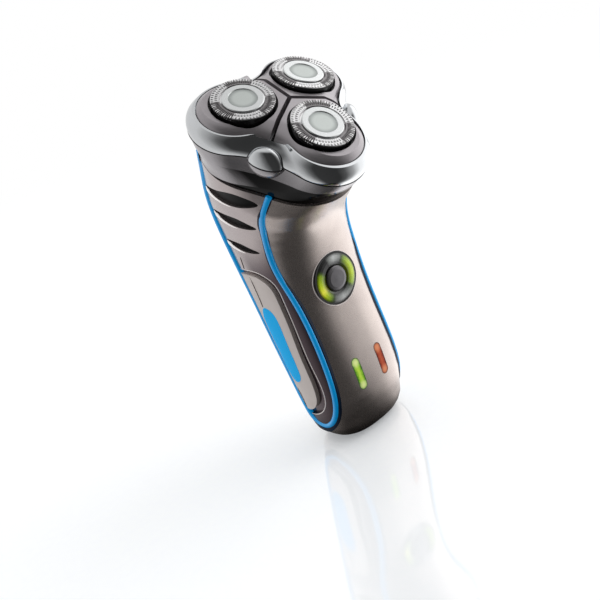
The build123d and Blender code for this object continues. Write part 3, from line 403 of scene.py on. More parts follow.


# The dark plum is painted shade, laid over the lacquer's own colour.
overlay(panel_lacquer_painted_shade, "#5a4d52", painted_shade_lower_front)
paint(panel_lacquer_painted_shade, "side_panel_left", "side_panel_right")
pad_rubber = even_surface("soft_touch_rubber", "#e6dbd6", "#ede2dd", 0.42, 0.35, 0.006,
                          Metallic=0.1, Sheen_Weight=0.15)
paint(pad_rubber, "grip_pad_left", "grip_pad_right")
print("finished the side panels")

# %% [markdown]
# The piping is extruded in a saturated blue and polished. The band it lies on is painted so
# deep a blue that it looks like a shadow line beside the bead: painted shade. The grip inserts
# are satin blue. The inserts, and the piping bead drawn further down, glow faintly: painted
# light that makes the blue brighter than the lamps alone do.

# %% Blue mouldings
# The band under the bead is painted deep blue as painted shade: the shadow line beside it.
piping_shadow_band = even_surface("piping_band_painted_shade", "#04203f", "#062849", 0.3, 0.4, 0.001)
# The satin blue glows a little: painted light, though nothing lights it from behind.
blue_satin_painted_glow = even_surface("satin_blue_abs_painted_glow", "#00a8e8", "#00aeee", 0.5, 0.3, 0.004,
                          Specular_IOR_Level=0.1, Emission_Color=colour("#009ee0"),
                          Emission_Strength=0.35)
paint(piping_shadow_band, "piping_left", "piping_right")
paint(blue_satin_painted_glow, "grip_insert_left", "grip_insert_right")
print("blue mouldings done")

# %% [markdown]
# Black is used for everything that should recede: the crescents in the side panels, the band
# below the collar and the rim of the button. It is polished ABS with hardly any grain.

# %% Black mouldings
black_polished = even_surface("polished_black_abs", "#060607", "#0a0a0b", 0.12, 0.4, 0.001,
                              Coat_Weight=0.3, Coat_Roughness=0.06)
paint(black_polished, "neck_band", "button_bezel")
black_matte = even_surface("matte_black_abs", "#050505", "#080808", 0.55, 0.3, 0.01,
                           Specular_IOR_Level=0.25)
paint(black_matte, "groove_inlays", "drive_deck", "chassis", "trimmer_housing",
      "charging_socket", "spindle_seals", "retaining_wheel", "board_components",
      "power_switch", "trimmer_slider", "retaining_frame")
print("black mouldings done")

# %% [markdown]
# The ring of the shaving unit is chromed ABS: polished to a mirror, then plated. The holders
# and the buttons are satin grey.

# %% Chrome plate and satin grey
chrome_plate = even_surface("chrome_plated_abs", "#ccced0", "#d2d4d6", 0.1, 0.6, 0.0005,
                            Metallic=1.0)
paint(chrome_plate, "shaving_unit_frame")
satin_grey = even_surface("satin_grey_lacquer", "#b3afb2", "#bab6b9", 0.24, 0.25, 0.002,
                          Metallic=0.75, Coat_Weight=0.15, Coat_Roughness=0.15)
paint(satin_grey, "release_button_left", "release_button_right")
button_grey = even_surface("dark_satin_button", "#6d6b6e", "#757376", 0.3, 0.25, 0.003,
                           Metallic=0.7)
paint(button_grey, "power_button")
holder_grey = even_surface("holder_grey_lacquer", "#a8a3a6", "#b0abae", 0.3, 0.25, 0.003,
                           Metallic=0.6)
paint(holder_grey, "holder_front", "holder_left", "holder_right")
print("head plated and lacquered")

# %% [markdown]
# The collar is moulded in one piece. Satin grey runs round its upper edge and its back, and
# below a crisp line the front is painted polished black. The black is partly the black band
# under the collar, which reaches higher than its CAD piece, and partly painted shade and a
# painted dark reflection on the collar's underside, which turns in under the overhang; round
# towards the back it fades to grey. Both tones are placed in the frame of the head: the
# height along the motor's axis, and the angle round that axis from the front guard.

# %% Collar with a painted black front
joints = {joint["name"]: joint for joint in frame["joints"]}
MOTOR_POINT, MOTOR_AXIS = (Vector(joints["motor_spin"][key]) for key in ("pos_m", "axis"))
MASK_LINE = 2.3
MASK_EDGE = 0.12
BLACK_FULL, BLACK_GONE = 78, 96
WEDGE_PER_MM = 4.5
collar_band_and_shade_paint, tree, shader = new_material("collar_lacquer_black_band_and_painted_shade")
at = framed(tree, MOTOR_POINT, MOTOR_AXIS, (0, -1, 0))
round_axis = compute(tree, "ABSOLUTE", compute(tree, "ARCTAN2", at["Y"], at["X"]))
lower = compute(tree, "SUBTRACT", MASK_LINE * MM, at["Z"])
lean = compute(tree, "MULTIPLY", lower, math.radians(WEDGE_PER_MM) / MM)
frontal = stepped(tree, compute(tree, "ADD", round_axis, lean), math.radians(BLACK_FULL),
                  math.radians(BLACK_GONE), 1, 0)
below = stepped(tree, at["Z"], (MASK_LINE - MASK_EDGE) * MM, (MASK_LINE + MASK_EDGE) * MM, 1, 0)
# Where the black goes: partly the black band, partly painted shade under the collar.
band_and_shade_black = compute(tree, "MULTIPLY", frontal, below)
place = add(tree, "ShaderNodeTexCoord").outputs["Object"]
drift = add(tree, "ShaderNodeTexNoise", {"Vector": place, "Scale": 1 / (DRIFT * MM)})
grey = ramp(tree, drift.outputs["Fac"], [(0.3, "#b1adb0"), (0.7, "#b9b5b8")])
tree.links.new(blend(tree, band_and_shade_black, grey, "#070708"), shader.inputs["Base Color"])
tree.links.new(stepped(tree, band_and_shade_black, 0, 1, 0.25, 0.13), shader.inputs["Roughness"])
tree.links.new(stepped(tree, band_and_shade_black, 0, 1, 0.75, 0.0), shader.inputs["Metallic"])
shader.inputs["Coat Weight"].default_value = 0.2
shader.inputs["Coat Roughness"].default_value = 0.08
paint(collar_band_and_shade_paint, "collar")
print("collar masked", MASK_LINE, "mm above the motor's face")

# %% [markdown]
# A real guard is a thin cup of stainless steel, pierced with slits and lapped flat on a wheel.
# The CAD guard is a plain cup, so its slits and holes are drawn here in the finish alone.
# Lapping leaves rings too fine to see, which stretch a highlight into a bow tie: that is
# anisotropy, with its direction running round the guard's own axis. Long slits and short
# slits take turns in six sections. The long-slit sections are a darker grey and the holes are
# dark spots: this is painted shade, the shaded inside of the guard seen through its openings.
# The grinding marks between the slits are finer than can be seen, so they are drawn as ribs
# about a millimetre apart. The wall of the cup is black.

# %% Guards
GUARD_WALL = 11.22
SECTION_DEGREES = 60
SECTION_BLUR = 2.0
RIBS = 66
RIB_START = 9.6
RIB_FADE = 0.6
ROW_GAP = 1.3
WALL_FADE = 0.05
LAPPING_RINGS = 0.12


def round_guard(tree, place_name):
    """One guard's origin and axis, and a frame on them that looks away from the motor."""
    joint = joints[f"cutter_{place_name}_spin"]
    origin, axis = Vector(joint["pos_m"]), Vector(joint["axis"])
    return origin, axis, framed(tree, origin, axis, origin - MOTOR_POINT)


def guard_finish(place_name):
    """Lapped steel round one guard's axis, with its six sections, painted shade in its slits and
    holes, and its black wall.
    """
    material, tree, shader = new_material(f"lapped_steel_painted_shade_{place_name}")
    origin, axis, at = round_guard(tree, place_name)
    radius = off_axis(tree, at)
    turn = compute(tree, "ARCTAN2", at["Y"], at["X"])
    wave = compute(tree, "SINE", compute(tree, "MULTIPLY", turn, 180 / SECTION_DEGREES))
    blur = math.sin(math.radians(SECTION_BLUR * 180 / SECTION_DEGREES))
    dense = stepped(tree, wave, -blur, blur)
    wall = stepped(tree, radius, GUARD_WALL * MM, (GUARD_WALL + WALL_FADE) * MM)
    place = add(tree, "ShaderNodeTexCoord").outputs["Object"]
    rings = add(tree, "ShaderNodeTexNoise", {"W": radius, "Scale": 1 / (LAPPING_RINGS * MM)},
                noise_dimensions="1D")
    light = ramp(tree, rings.outputs["Fac"], [(0.3, "#d9d8d9"), (0.7, "#e4e4e4")])
    # Long-slit sections: a darker grey that is painted shade of the guard's inside.
    dark = ramp(tree, rings.outputs["Fac"], [(0.3, "#7d7a7b"), (0.7, "#8b8889")])
    ribs = compute(tree, "SINE", compute(tree, "MULTIPLY", turn, RIBS))
    outer = stepped(tree, radius, RIB_START * MM, (RIB_START + RIB_FADE) * MM)
    dark = blend(tree, compute(tree, "MULTIPLY", outer, stepped(tree, ribs, -0.4, 0.4)),
                 dark, "#e9e8e8")
    rows = compute(tree, "SINE", compute(tree, "MULTIPLY", radius, math.tau / (ROW_GAP * MM)))
    # Holes in the short-slit sections: dark spots that are painted shade.
    holes = compute(tree, "MULTIPLY", stepped(tree, ribs, 0.0, 0.5),
                    stepped(tree, rows, 0.0, 0.5))
    light = blend(tree, compute(tree, "MULTIPLY", holes, 0.6), light, "#6f6c6d")
    face = blend(tree, dense, light, dark)
    tree.links.new(blend(tree, wall, face, "#0b0b0c"), shader.inputs["Base Color"])
    tree.links.new(stepped(tree, wall, 0, 1, 1.0, 0.2), shader.inputs["Metallic"])
    tree.links.new(stepped(tree, rings.outputs["Fac"], 0.3, 0.7, 0.2, 0.28),
                   shader.inputs["Roughness"])
    offset = add(tree, "ShaderNodeVectorMath", {0: place, 1: origin}, operation="SUBTRACT")
    around = add(tree, "ShaderNodeVectorMath", {0: axis, 1: offset.outputs["Vector"]},
                 operation="CROSS_PRODUCT")
    around = add(tree, "ShaderNodeVectorMath", {0: around.outputs["Vector"]},
                 operation="NORMALIZE")
    tree.links.new(around.outputs["Vector"], shader.inputs["Tangent"])
    shader.inputs["Anisotropic"].default_value = 0.6
    return material


for name in HEADS:
    paint(guard_finish(name), f"guard_{name}")
print("lapped the guards")

# %% [markdown]
# The cap in the middle of each guard is a spun steel dish: a bright ring round a slightly
# darker, finely blasted floor. Towards its edge the floor is darkened further, painted shade
# where the ring rises round it.

# %% Guard caps
DISH_RADIUS = 5.05
DISH_EDGE = 0.1
SHADE_START = 0.6
BLAST_GRAIN = 0.2


def cap_finish(place_name):
    """Spun steel with a blasted floor round one guard's axis, darkened towards its edge as
    painted shade.
    """
    material, tree, shader = new_material(f"spun_steel_painted_shade_{place_name}")
    _, _, at = round_guard(tree, place_name)
    radius = off_axis(tree, at)
    floor_share = stepped(tree, radius, (DISH_RADIUS - DISH_EDGE) * MM,
                          (DISH_RADIUS + DISH_EDGE) * MM, 1, 0)
    place = add(tree, "ShaderNodeTexCoord").outputs["Object"]
    blast = add(tree, "ShaderNodeTexNoise", {"Vector": place, "Scale": 1 / (BLAST_GRAIN * MM)})
    ring = ramp(tree, blast.outputs["Fac"], [(0.3, "#d4d6d6"), (0.7, "#dcdede")])
    dish = ramp(tree, blast.outputs["Fac"], [(0.3, "#c0c5c2"), (0.7, "#c8cdca")])
    # Darker towards the dish's edge: painted shade where the ring rises round it.
    painted_shade_towards_edge = stepped(tree, radius, SHADE_START * DISH_RADIUS * MM, DISH_RADIUS * MM)
    dish = blend(tree, painted_shade_towards_edge, dish, "#9fa4a2")
    tree.links.new(blend(tree, floor_share, ring, dish), shader.inputs["Base Color"])
    tree.links.new(stepped(tree, floor_share, 0, 1, 0.24, 0.42), shader.inputs["Roughness"])
    shader.inputs["Metallic"].default_value = 0.85
    return material


for name in HEADS:
    paint(cap_finish(name), f"guard_cap_{name}")
print("spun the caps")

# %% [markdown]
# The pin, the screws, the trimmer and the motor's can are plain stainless steel. The cutters
# under the guards are painted a dark brown-grey, which is painted shade: they lie in the shade
# inside the guards. The contacts are plated a pale brass colour.

# %% Steel and contacts
plain_steel = even_surface("ground_stainless_steel", "#c4c3c3", "#cfcecd", 0.2, 0.15, 0.001,
                           Metallic=1.0)
paint(plain_steel, "trimmer_comb", "trimmer_blade", "unit_hinge_pin", "shell_screws",
      "motor")
# A dark colour on the cutters: painted shade, for steel lying in the guards' shade.
shaded_cutter_steel = even_surface("cutter_steel_painted_shade", "#2b2928", "#353231", 0.35, 0.15, 0.001,
                              Metallic=0.8)
paint(shaded_cutter_steel, "cutter_front", "cutter_left", "cutter_right")
contact_metal = even_surface("plated_contact_metal", "#c8ab6c", "#d0b478", 0.3, 0.3, 0.002,
                             Metallic=1.0)
paint(contact_metal, "battery_tabs", "socket_pins")
print("steel done")

# %% [markdown]
# The pieces inside the shells show only when the shaving unit is flipped open or the trimmer is
# out. Each has the usual colour of its material: white acetal gears, a green board, green
# wrapped cells and clear lamps.

# %% Inner plastics
acetal = even_surface("natural_acetal", "#dedcd4", "#e6e4dc", 0.45, 0.4, 0.004)
paint(acetal, "drive_gear_front", "drive_gear_left", "drive_gear_right", "motor_pinion",
      "gear_carrier")
solder_mask = even_surface("green_solder_mask", "#0d4a2a", "#11552f", 0.3, 0.5, 0.004)
paint(solder_mask, "circuit_board")
cell_wrap = even_surface("shrink_wrapped_cell", "#2f7d55", "#37875d", 0.35, 0.6, 0.004)
paint(cell_wrap, "battery_cells")
led_epoxy = even_surface("clear_led_epoxy", "#e0e0d8", "#e8e8e0", 0.2, 0.5, 0.001)
paint(led_epoxy, "status_leds")
print("inner plastics done")

# %% [markdown]
# The two indicator windows are pill-shaped lenses lit from behind by a lamp at each end. A
# lens glows brightest over its lamps and is deep in colour at its rim, so the colour follows
# the distance from the line that runs down the middle of the pill.

# %% Indicator lenses
LENS_CLOUD = 1.0
LENS_CLOUD_SHARE = 0.12
LAMP_REACH = 1.5
LAMP_SHARE = 0.75
LENS_RIM = (0.8, 0.95)


def lens(name, node, stops, lamp_colour, glow):
    """A lit pill-shaped lens, with colours from its middle line to its rim."""
    low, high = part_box(node)
    middle, radius = (low + high) / 2, (high.x - low.x) / 2
    straight = (high.z - low.z) / 2 - radius
    material, tree, shader = new_material(name)
    place = add(tree, "ShaderNodeTexCoord").outputs["Object"]
    offset = add(tree, "ShaderNodeVectorMath", {0: place, 1: middle}, operation="SUBTRACT")
    split = add(tree, "ShaderNodeSeparateXYZ", {"Vector": offset.outputs["Vector"]})
    up = compute(tree, "ABSOLUTE", split.outputs["Z"])
    past_end = compute(tree, "MAXIMUM", compute(tree, "SUBTRACT", up, straight), 0.0)
    flat = add(tree, "ShaderNodeCombineXYZ", {"X": split.outputs["X"], "Y": past_end})
    reach = add(tree, "ShaderNodeVectorMath", {0: flat.outputs["Vector"]},
                operation="LENGTH")
    share = compute(tree, "DIVIDE", reach.outputs["Value"], radius)
    cloud = add(tree, "ShaderNodeTexNoise", {"Vector": place, "Scale": 1 / (LENS_CLOUD * MM)})
    wavy = stepped(tree, cloud.outputs["Fac"], 0.3, 0.7, -LENS_CLOUD_SHARE, LENS_CLOUD_SHARE)
    body = ramp(tree, compute(tree, "ADD", share, wavy), stops)
    from_lamp = add(tree, "ShaderNodeCombineXYZ",
                    {"X": split.outputs["X"], "Y": compute(tree, "SUBTRACT", up, straight)})
    lamp = add(tree, "ShaderNodeVectorMath", {0: from_lamp.outputs["Vector"]},
               operation="LENGTH")
    near_lamp = stepped(tree, lamp.outputs["Value"], 0.0, LAMP_REACH * radius, LAMP_SHARE, 0.0)
    tint = blend(tree, near_lamp, body, lamp_colour)
    rim = stepped(tree, share, *LENS_RIM)
    tint = blend(tree, rim, tint, stops[-1][1])
    tree.links.new(tint, shader.inputs["Base Color"])
    tree.links.new(tint, shader.inputs["Emission Color"])
    shader.inputs["Emission Strength"].default_value = glow
    shader.inputs["Roughness"].default_value = 0.4
    shader.inputs["Specular IOR Level"].default_value = 0.2
    paint(material, node)
    print(name, "on a pill", round((high.z - low.z) / MM, 1), "mm long")


lens("green_lit_lens", "charge_window",
     [(0.0, "#c2e450"), (0.45, "#9fce3c"), (0.7, "#74aa2c"), (0.86, "#3f7a22"),
      (1.0, "#2c5a1a")], "#f4fab4", 0.4)
lens("orange_lit_lens", "low_battery_window",
     [(0.0, "#c65a34"), (0.45, "#b24424"), (0.7, "#8a2c12"), (0.86, "#5e1f10"),
      (1.0, "#4a170c")], "#ffa878", 0.25)

# %% [markdown]
# The ring round the button is a clear light guide with green lamps behind its two sides. The
# lit arcs fade to dark green at their ends. Between them the guide is unlit and cloudy grey,
# with two pale painted highlights that glow a little, and one black stretch that is a painted
# reflection. Colour goes round the ring with the angle, and darkens to both rims.

# %% Light ring
# Angle, colour, glow. The green arcs are the lamps' light; the pale greys near -85 and 82
# degrees are painted highlights, and the black from 107 to 135 degrees is a painted reflection.
RING_LAMPS_AND_PAINTED_REFLECTIONS = [
    (-180, "#cfe41c", 0.8), (-163, "#f6f24a", 1.0), (-150, "#c3da12", 0.8),
    (-132, "#86ab04", 0.5), (-120, "#334a0c", 0.1), (-112, "#9a9e9b", 0), (-85, "#d0d3d1", 0.25),
    (-62, "#8f9390", 0), (-46, "#3b5210", 0.1), (-36, "#9fc400", 0.5), (-8, "#c4dd0c", 0.8),
    (25, "#b8d400", 0.7), (44, "#86ab04", 0.4), (54, "#3b5210", 0.1), (60, "#a9adaa", 0),
    (82, "#dfe2e0", 0.3), (100, "#9a9e9b", 0), (107, "#0b0b0b", 0), (135, "#0b0b0b", 0),
    (141, "#3b5210", 0.1), (150, "#8fb300", 0.5), (166, "#aecb06", 0.7), (180, "#cfe41c", 0.8)]
RING_GLOW = 0.4
GUIDE_REACH = 10
GUIDE_RADII = [(5.2, 0.1), (6.0, 0.15), (7.0, 0.75), (7.8, 1.0), (8.7, 1.0), (9.2, 0.45),
               (9.7, 0.1)]
GUIDE_CLOUD = 0.8
ring_low, ring_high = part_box("button_light_ring")
ring_middle = (ring_low + ring_high) / 2
light_guide, tree, shader = new_material("clear_guide_painted_reflections")
at = framed(tree, ring_middle, (0, -1, 0), (1, 0, 0))
turn = add(tree, "ShaderNodeMapRange",
           {"Value": compute(tree, "ARCTAN2", at["Y"], at["X"]), "From Min": -math.pi,
            "From Max": math.pi}).outputs["Result"]
radius = add(tree, "ShaderNodeMapRange",
             {"Value": off_axis(tree, at), "From Max": GUIDE_REACH * MM}).outputs["Result"]
depth = ramp(tree, radius, [(r / GUIDE_REACH, value) for r, value in GUIDE_RADII])
tint = ramp(tree, turn, [((angle + 180) / 360, code) for angle, code, _ in RING_LAMPS_AND_PAINTED_REFLECTIONS])
tint = add(tree, "ShaderNodeMix", {0: 1.0, 6: tint, 7: depth}, data_type="RGBA",
           blend_type="MULTIPLY").outputs[2]
lit = ramp(tree, turn, [((angle + 180) / 360, glow) for angle, _, glow in RING_LAMPS_AND_PAINTED_REFLECTIONS])
tree.links.new(tint, shader.inputs["Base Color"])
tree.links.new(tint, shader.inputs["Emission Color"])
tree.links.new(compute(tree, "MULTIPLY", lit, RING_GLOW), shader.inputs["Emission Strength"])
cloud = add(tree, "ShaderNodeTexNoise",
            {"Vector": add(tree, "ShaderNodeTexCoord").outputs["Object"],
             "Scale": 1 / (GUIDE_CLOUD * MM)})
tree.links.new(stepped(tree, cloud.outputs["Fac"], 0.3, 0.7, 0.22, 0.32),
               shader.inputs["Roughness"])
shader.inputs["Coat Weight"].default_value = 0.5
shader.inputs["Coat Roughness"].default_value = 0.05
paint(light_guide, "button_light_ring")
print("light guide", round((ring_high.x - ring_low.x) / MM, 1), "mm across")

# %% [markdown]
# Thin lines such as the piping follow the edges of the CAD pieces. Rather than draw them
# again, this cell walks along the sharp edges of a piece and hands back each chain of points
# in order. It works on a copy of the mesh, so the CAD piece stays as it is.

# %% Walking along sharp edges
OUTSIDE = 60


def rims(name, side, sharp_degrees=35, facing=0.3):
    """Chains of points along a CAD piece's sharp edges, longest first; side 0 is both."""
    copy = bmesh.new()
    copy.from_mesh(nodes[name].data)
    bmesh.ops.remove_doubles(copy, verts=copy.verts, dist=MM / 1000)

    def outer(edge):
        faces = edge.link_faces
        return (len(faces) == 2 and edge.calc_face_angle() > math.radians(sharp_degrees)
                and any(face.normal.x * side > facing for face in faces))

    edges = [edge for edge in copy.edges if outer(edge)]
    waiting = set(edges)
    chains = []
    for first in edges:
        if first not in waiting:
            continue
        waiting.discard(first)
        chain = list(first.verts)
        for _ in range(2):
            chain.reverse()
            while True:
                steps = [edge for edge in chain[-1].link_edges if edge in waiting]
                if not steps:
                    break
                waiting.discard(steps[0])
                chain.append(steps[0].other_vert(chain[-1]))
        if sum(vert.co.x for vert in chain) * side >= 0:
            chains.append([vert.co.copy() for vert in chain])
    copy.free()
    return sorted(chains, key=run_length, reverse=True)


def run_length(points):
    """Length of a chain of points."""
    return sum((b - a).length for a, b in zip(points, points[1:]))


def evenly(points, pieces):
    """The same chain cut into a number of equal pieces."""
    total = run_length(points)
    spaced, walked, k = [], 0.0, 0
    for n in range(pieces + 1):
        wanted = total * n / pieces
        while k < len(points) - 2 and walked + (points[k + 1] - points[k]).length < wanted:
            walked += (points[k + 1] - points[k]).length
            k += 1
        length = (points[k + 1] - points[k]).length
        share = min(1.0, (wanted - walked) / length) if length else 0.0
        spaced.append(points[k].lerp(points[k + 1], share))
    return spaced


def bead(name, points, radius, material, body, closed=False, taper=None):
    """A round thread along a chain of points; taper(share) scales its radius."""
    curve = bpy.data.curves.new(name, "CURVE")
    curve.dimensions = "3D"
    curve.bevel_depth = radius
    curve.bevel_resolution = 5
    curve.use_fill_caps = True
    curve.resolution_u = 3
    line = points[:-1] if closed else points
    spline = curve.splines.new("NURBS")
    spline.points.add(len(line) - 1)
    for k, (spot, point) in enumerate(zip(spline.points, line)):
        spot.co = (*point, 1.0)
        spot.radius = taper(k / (len(line) - 1)) if taper else 1.0
    spline.order_u = 4
    spline.use_endpoint_u = not closed
    spline.use_cyclic_u = closed
    curve.materials.append(material)
    piece = bpy.data.objects.new(name, curve)
    bpy.context.scene.collection.objects.link(piece)
    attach(piece, body)
    return piece


def pointed(slope):
    """A taper that brings both ends of a bead to a point."""
    return lambda share: min(1, slope * share, slope * (1 - share))


print("edge walking ready")

# %% [markdown]
# The piping is a soft round bead pressed into the seam between shell and side panel. The CAD
# piece is the flat band that it is bonded to, so the bead runs down the middle of that band.
# The band's rim is one closed chain with four sharp corners: the two long runs between them
# are its edges, and each point of one is averaged with the nearest point of the other.

# %% Piping
PIPING_RADIUS = 1.2
PIPING_SUNK = 0.5
END_SHARE = 0.4
RAY_START = 5.0
PIPING_PIECES = 90
FINE_PIECES = 1500
SMOOTHINGS = 6


def skin_of(*pieces):
    """The surfaces of CAD pieces, ready to be met by rays."""
    return [BVHTree.FromPolygons([v.co for v in nodes[piece].data.vertices],
                                 [p.vertices for p in nodes[piece].data.polygons])
            for piece in pieces]


def long_edges(loop):
    """The two long runs of a band's closed rim, both in the same direction."""
    ring = loop[:-1]
    count = len(ring)

    def bend(k):
        return (ring[k] - ring[k - 1]).angle(ring[(k + 1) % count] - ring[k])

    corners = sorted(sorted(range(count), key=bend)[-4:])
    runs = [[ring[k % count] for k in range(start, end + 1)]
            for start, end in zip(corners, corners[1:] + [corners[0] + count])]
    first, second = sorted(runs, key=run_length)[-2:]
    if (first[0] - second[0]).length > (first[0] - second[-1]).length:
        second.reverse()
    return first, second


def smoothed(points, times):
    """The same chain with its ends held and each point drawn towards its neighbours."""
    for _ in range(times):
        middle = [(a + b * 2 + c) / 4 for a, b, c in zip(points, points[1:], points[2:])]
        points = [points[0], *middle, points[-1]]
    return points


# The bead glows a little too: painted light that makes its blue brighter.
piping_blue_painted_glow = even_surface("polished_blue_piping_painted_glow", "#009ee2", "#00a5e8", 0.25, 0.4, 0.001,
                           Coat_Weight=0.6, Coat_Roughness=0.12,
                           Emission_Color=colour("#0094dc"), Emission_Strength=0.35)
for name, side in SIDES.items():
    first, second = long_edges(rims(f"piping_{name}", side)[0])
    fine = evenly(second, FINE_PIECES)
    middle, lift = [], []
    for point in evenly(first, PIPING_PIECES):
        across = min(fine, key=lambda other: (other - point).length) - point
        middle.append(point + across / 2)
        lift.append(across)
    along = [b - a for a, b in zip(middle, middle[1:] + middle[-1:])]
    along[-1] = along[-2]
    inward = [a.cross(b).normalized() for a, b in zip(along, lift)]
    inward = [v if v.x * side < 0 else -v for v in inward]
    band, = skin_of(f"piping_{name}")
    line = []
    for point, into in zip(smoothed(middle, SMOOTHINGS), inward):
        landed = band.ray_cast(point - into * RAY_START * MM, into)[0] or point
        line.append(landed + into * PIPING_SUNK * MM)
    line = smoothed(line, 1)
    line = [line[0] * 2 - line[1], *line, line[-1] * 2 - line[-2]]
    line[0], line[-1] = line[1].lerp(line[0], END_SHARE), line[-2].lerp(line[-1], END_SHARE)
    piece = bead(f"piping_bead_{name}", line, PIPING_RADIUS * MM, piping_blue_painted_glow, "handle")
    print(name, "piping", round(run_length(line) / MM), "mm long")

# %% [markdown]
# Fine lines finish the handle, and these are painted highlights that glow a little. A pale
# line runs round the channel in which the rubber pad lies, where the edge of the lacquer
# catches the light: it is that part of the panel's outline which stands over the edge of the
# channel's floor. Each black crescent has a bright lip, a painted highlight that is widest
# near its rear tip and fades out along the lower edge.

# %% Painted highlights: channel line and crescent lips
CHANNEL_LINE = 0.2
CHANNEL_PROUD = 0.08
CHANNEL_SLOPE = 12
RIM_PIECES, FLOOR_PIECES = 600, 300
EVERY = 4
WALL_LEAN = 0.7
SHORTEST_CRESCENT = 30
CRESCENT_PIECES = 120
LIP_RADIUS = 0.62
LIP_BELOW = 0.5
LIP_PROUD = 0.1
LIP_SHARE = 0.62
LIP_TIP, LIP_SWELL, LIP_FADE = 0.25, 5, 0.7
# The pale edge glows a little: a painted highlight, used also round the button.
painted_highlight_edge = even_surface("edge_lacquer_painted_highlight", "#d9d2cf", "#e2dbd8", 0.3, 0.4, 0.001,
                         Emission_Color=colour("#d0c8c6"), Emission_Strength=0.3)
# The bright lips glow too: painted highlights on the crescents' lower edges.
painted_highlight_lip = even_surface("lip_lacquer_painted_highlight", "#f1eeec", "#f7f4f2", 0.3, 0.4, 0.001,
                          Emission_Color=colour("#f4f0ee"), Emission_Strength=0.5)


def dropped(points, side, targets):
    """Points of a side view (Y, Z in mm) dropped along X onto the targets."""
    landed = []
    for y, z in points:
        start = Vector((side * OUTSIDE * MM, y * MM, z * MM))
        hits = [target.ray_cast(start, Vector((-side, 0, 0)))[0] for target in targets]
        hits = [hit for hit in hits if hit]
        if hits:
            landed.append(max(hits, key=lambda hit: hit.x * side))
    return landed


def lip_width(share):
    """A lip is widest near its rear tip and fades out towards the other end."""
    return min(1, LIP_TIP + LIP_SWELL * share) * (1 - share) ** LIP_FADE


for name, side in SIDES.items():
    outline, floor_edge = rims(f"side_panel_{name}", side)[:2]
    ring = evenly(outline, RIM_PIECES)[:-1]
    floor_edge = evenly(floor_edge, FLOOR_PIECES)
    beside = [min(math.hypot(p.y - q.y, p.z - q.z) for q in floor_edge) < WALL_LEAN * MM
              for p in ring]
    start = next(k for k in range(len(ring)) if beside[k] and not beside[k - 1])
    ring, beside = ring[start:] + ring[:start], beside[start:] + beside[:start]
    wall = [p for p, near in zip(ring, beside) if near]
    line = [p + Vector((side * CHANNEL_PROUD * MM, 0, 0)) for p in wall[::EVERY]]
    print(name, "channel rim", round(run_length(line) / MM), "mm")
    piece = bead(f"channel_highlight_{name}", line, CHANNEL_LINE * MM, painted_highlight_edge, "handle",
                 taper=pointed(CHANNEL_SLOPE))
    panel_skin = skin_of(f"side_panel_{name}")
    crescents = [loop for loop in rims("groove_inlays", side)
                 if run_length(loop) > SHORTEST_CRESCENT * MM]
    for k, loop in enumerate(crescents):
        ring = evenly(loop, CRESCENT_PIECES)[:-1]
        tip = max(range(len(ring)), key=lambda i: ring[i].y)
        ring = ring[tip:] + ring[:tip]
        half = len(ring) // 2
        ways = [ring[:half], [ring[0], *ring[:half:-1]]]
        lower = min(ways, key=lambda way: sum(p.z for p in way) / len(way))
        chord = lower[-1] - lower[0]
        down = Vector((0, chord.z, -chord.y)).normalized()
        down = down if down.z < 0 else -down
        lip = [p + down * LIP_BELOW * MM for p in lower[:round(len(lower) * LIP_SHARE):2]]
        lip = dropped([(p.y / MM, p.z / MM) for p in lip], side, panel_skin)
        lip = smoothed([p + Vector((side * LIP_PROUD * MM, 0, 0)) for p in lip], SMOOTHINGS)
        piece = bead(f"crescent_highlight_{name}_{k + 1}", lip, LIP_RADIUS * MM, painted_highlight_lip,
                     "handle", taper=lip_width)
    print(name, "channel line and", len(crescents), "crescent lips")

# %% [markdown]
# Short dark parting lines run over the panel above and below the rubber pad, and over the two
# ends of the pad. Each is drawn in side view as a few points, and the points are dropped along
# X onto whatever lies outermost there, so that the line follows the curved surface.

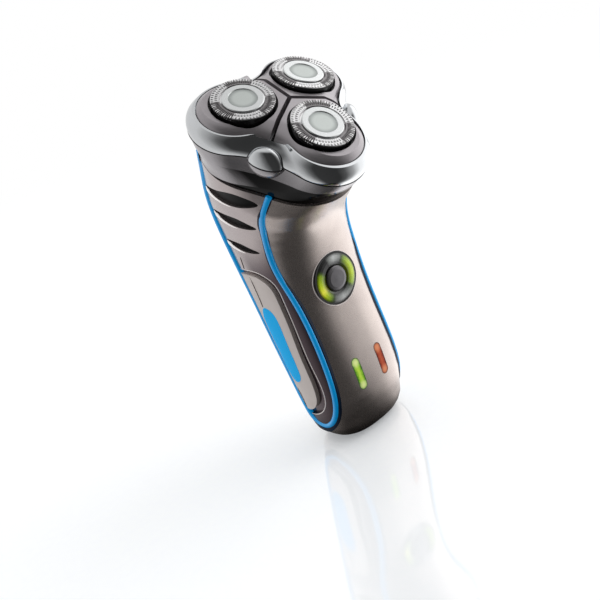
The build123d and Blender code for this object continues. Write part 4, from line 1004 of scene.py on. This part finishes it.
# %% Parting lines
PARTING_LINES = [[(13.0, 84.0), (14.3, 77.2), (13.2, 76.0)],
                 [(11.6, 75.4), (10.6, 63.2), (11.2, 62.0), (10.2, 59.5)],
                 [(8.1, 24.7), (6.4, 20.5), (6.0, 14.6)],
                 [(4.5, 12.1), (2.1, 9.6), (-0.8, 7.6)]]
PARTING_RADIUS = 0.2
PARTING_PIECES = 16
PARTING_SMOOTHINGS = 3
PARTING_SLOPE = 6
parting_brown = even_surface("dark_parting_line", "#45352f", "#4d3c35", 0.5, 0.4, 0.001)
for name, side in SIDES.items():
    targets = skin_of(f"side_panel_{name}", f"grip_pad_{name}", "back_shell")
    for k, points in enumerate(PARTING_LINES):
        path = [Vector((y, z, 0)) for y, z in points]
        path = smoothed(evenly(path, PARTING_PIECES), PARTING_SMOOTHINGS)
        landed = dropped([(p.x, p.y) for p in path], side, targets)
        piece = bead(f"parting_line_{name}_{k + 1}", landed, PARTING_RADIUS * MM,
                     parting_brown, "handle", taper=pointed(PARTING_SLOPE))
    print(name, len(PARTING_LINES), "parting lines")

# %% [markdown]
# A black seal lies between the chromed ring and the collar. It follows the longest sharp edge
# of the ring, which rises and falls with the three lobes.

# %% Seal under the chromed ring
SEAL_RADIUS = 0.24
SEAL_PIECES = 240
SEAL_SHARP = 30
EVERY_WAY = -1
seal_path = rims("shaving_unit_frame", 0, SEAL_SHARP, EVERY_WAY)[0]
piece = bead("ring_seal", evenly(seal_path, SEAL_PIECES), SEAL_RADIUS * MM, black_polished,
             "shaving_unit", closed=True)
print("seal", round(run_length(seal_path) / MM), "mm round")

# %% [markdown]
# A hair-thin bright line runs round the button's rim, where the shell's lacquer ends: a painted
# highlight that glows a little.

# %% Painted highlight round the button
HALO_RADIUS = 10.6
HALO_THREAD = 0.17
HALO_PROUD = 0.08
HALO_PIECES = 72
shell_skin, = skin_of("front_shell")
halo = []
for k in range(HALO_PIECES):
    angle = math.tau * k / HALO_PIECES
    start = Vector((HALO_RADIUS * MM * math.cos(angle), -OUTSIDE * MM,
                    ring_middle.z + HALO_RADIUS * MM * math.sin(angle)))
    hit = shell_skin.ray_cast(start, Vector((0, 1, 0)))[0]
    if hit:
        halo.append(hit - Vector((0, HALO_PROUD * MM, 0)))
halo.append(halo[0])
piece = bead("button_rim_highlight", halo, HALO_THREAD * MM, painted_highlight_edge, "handle", closed=True)
print("halo of", len(halo) - 1, "points")
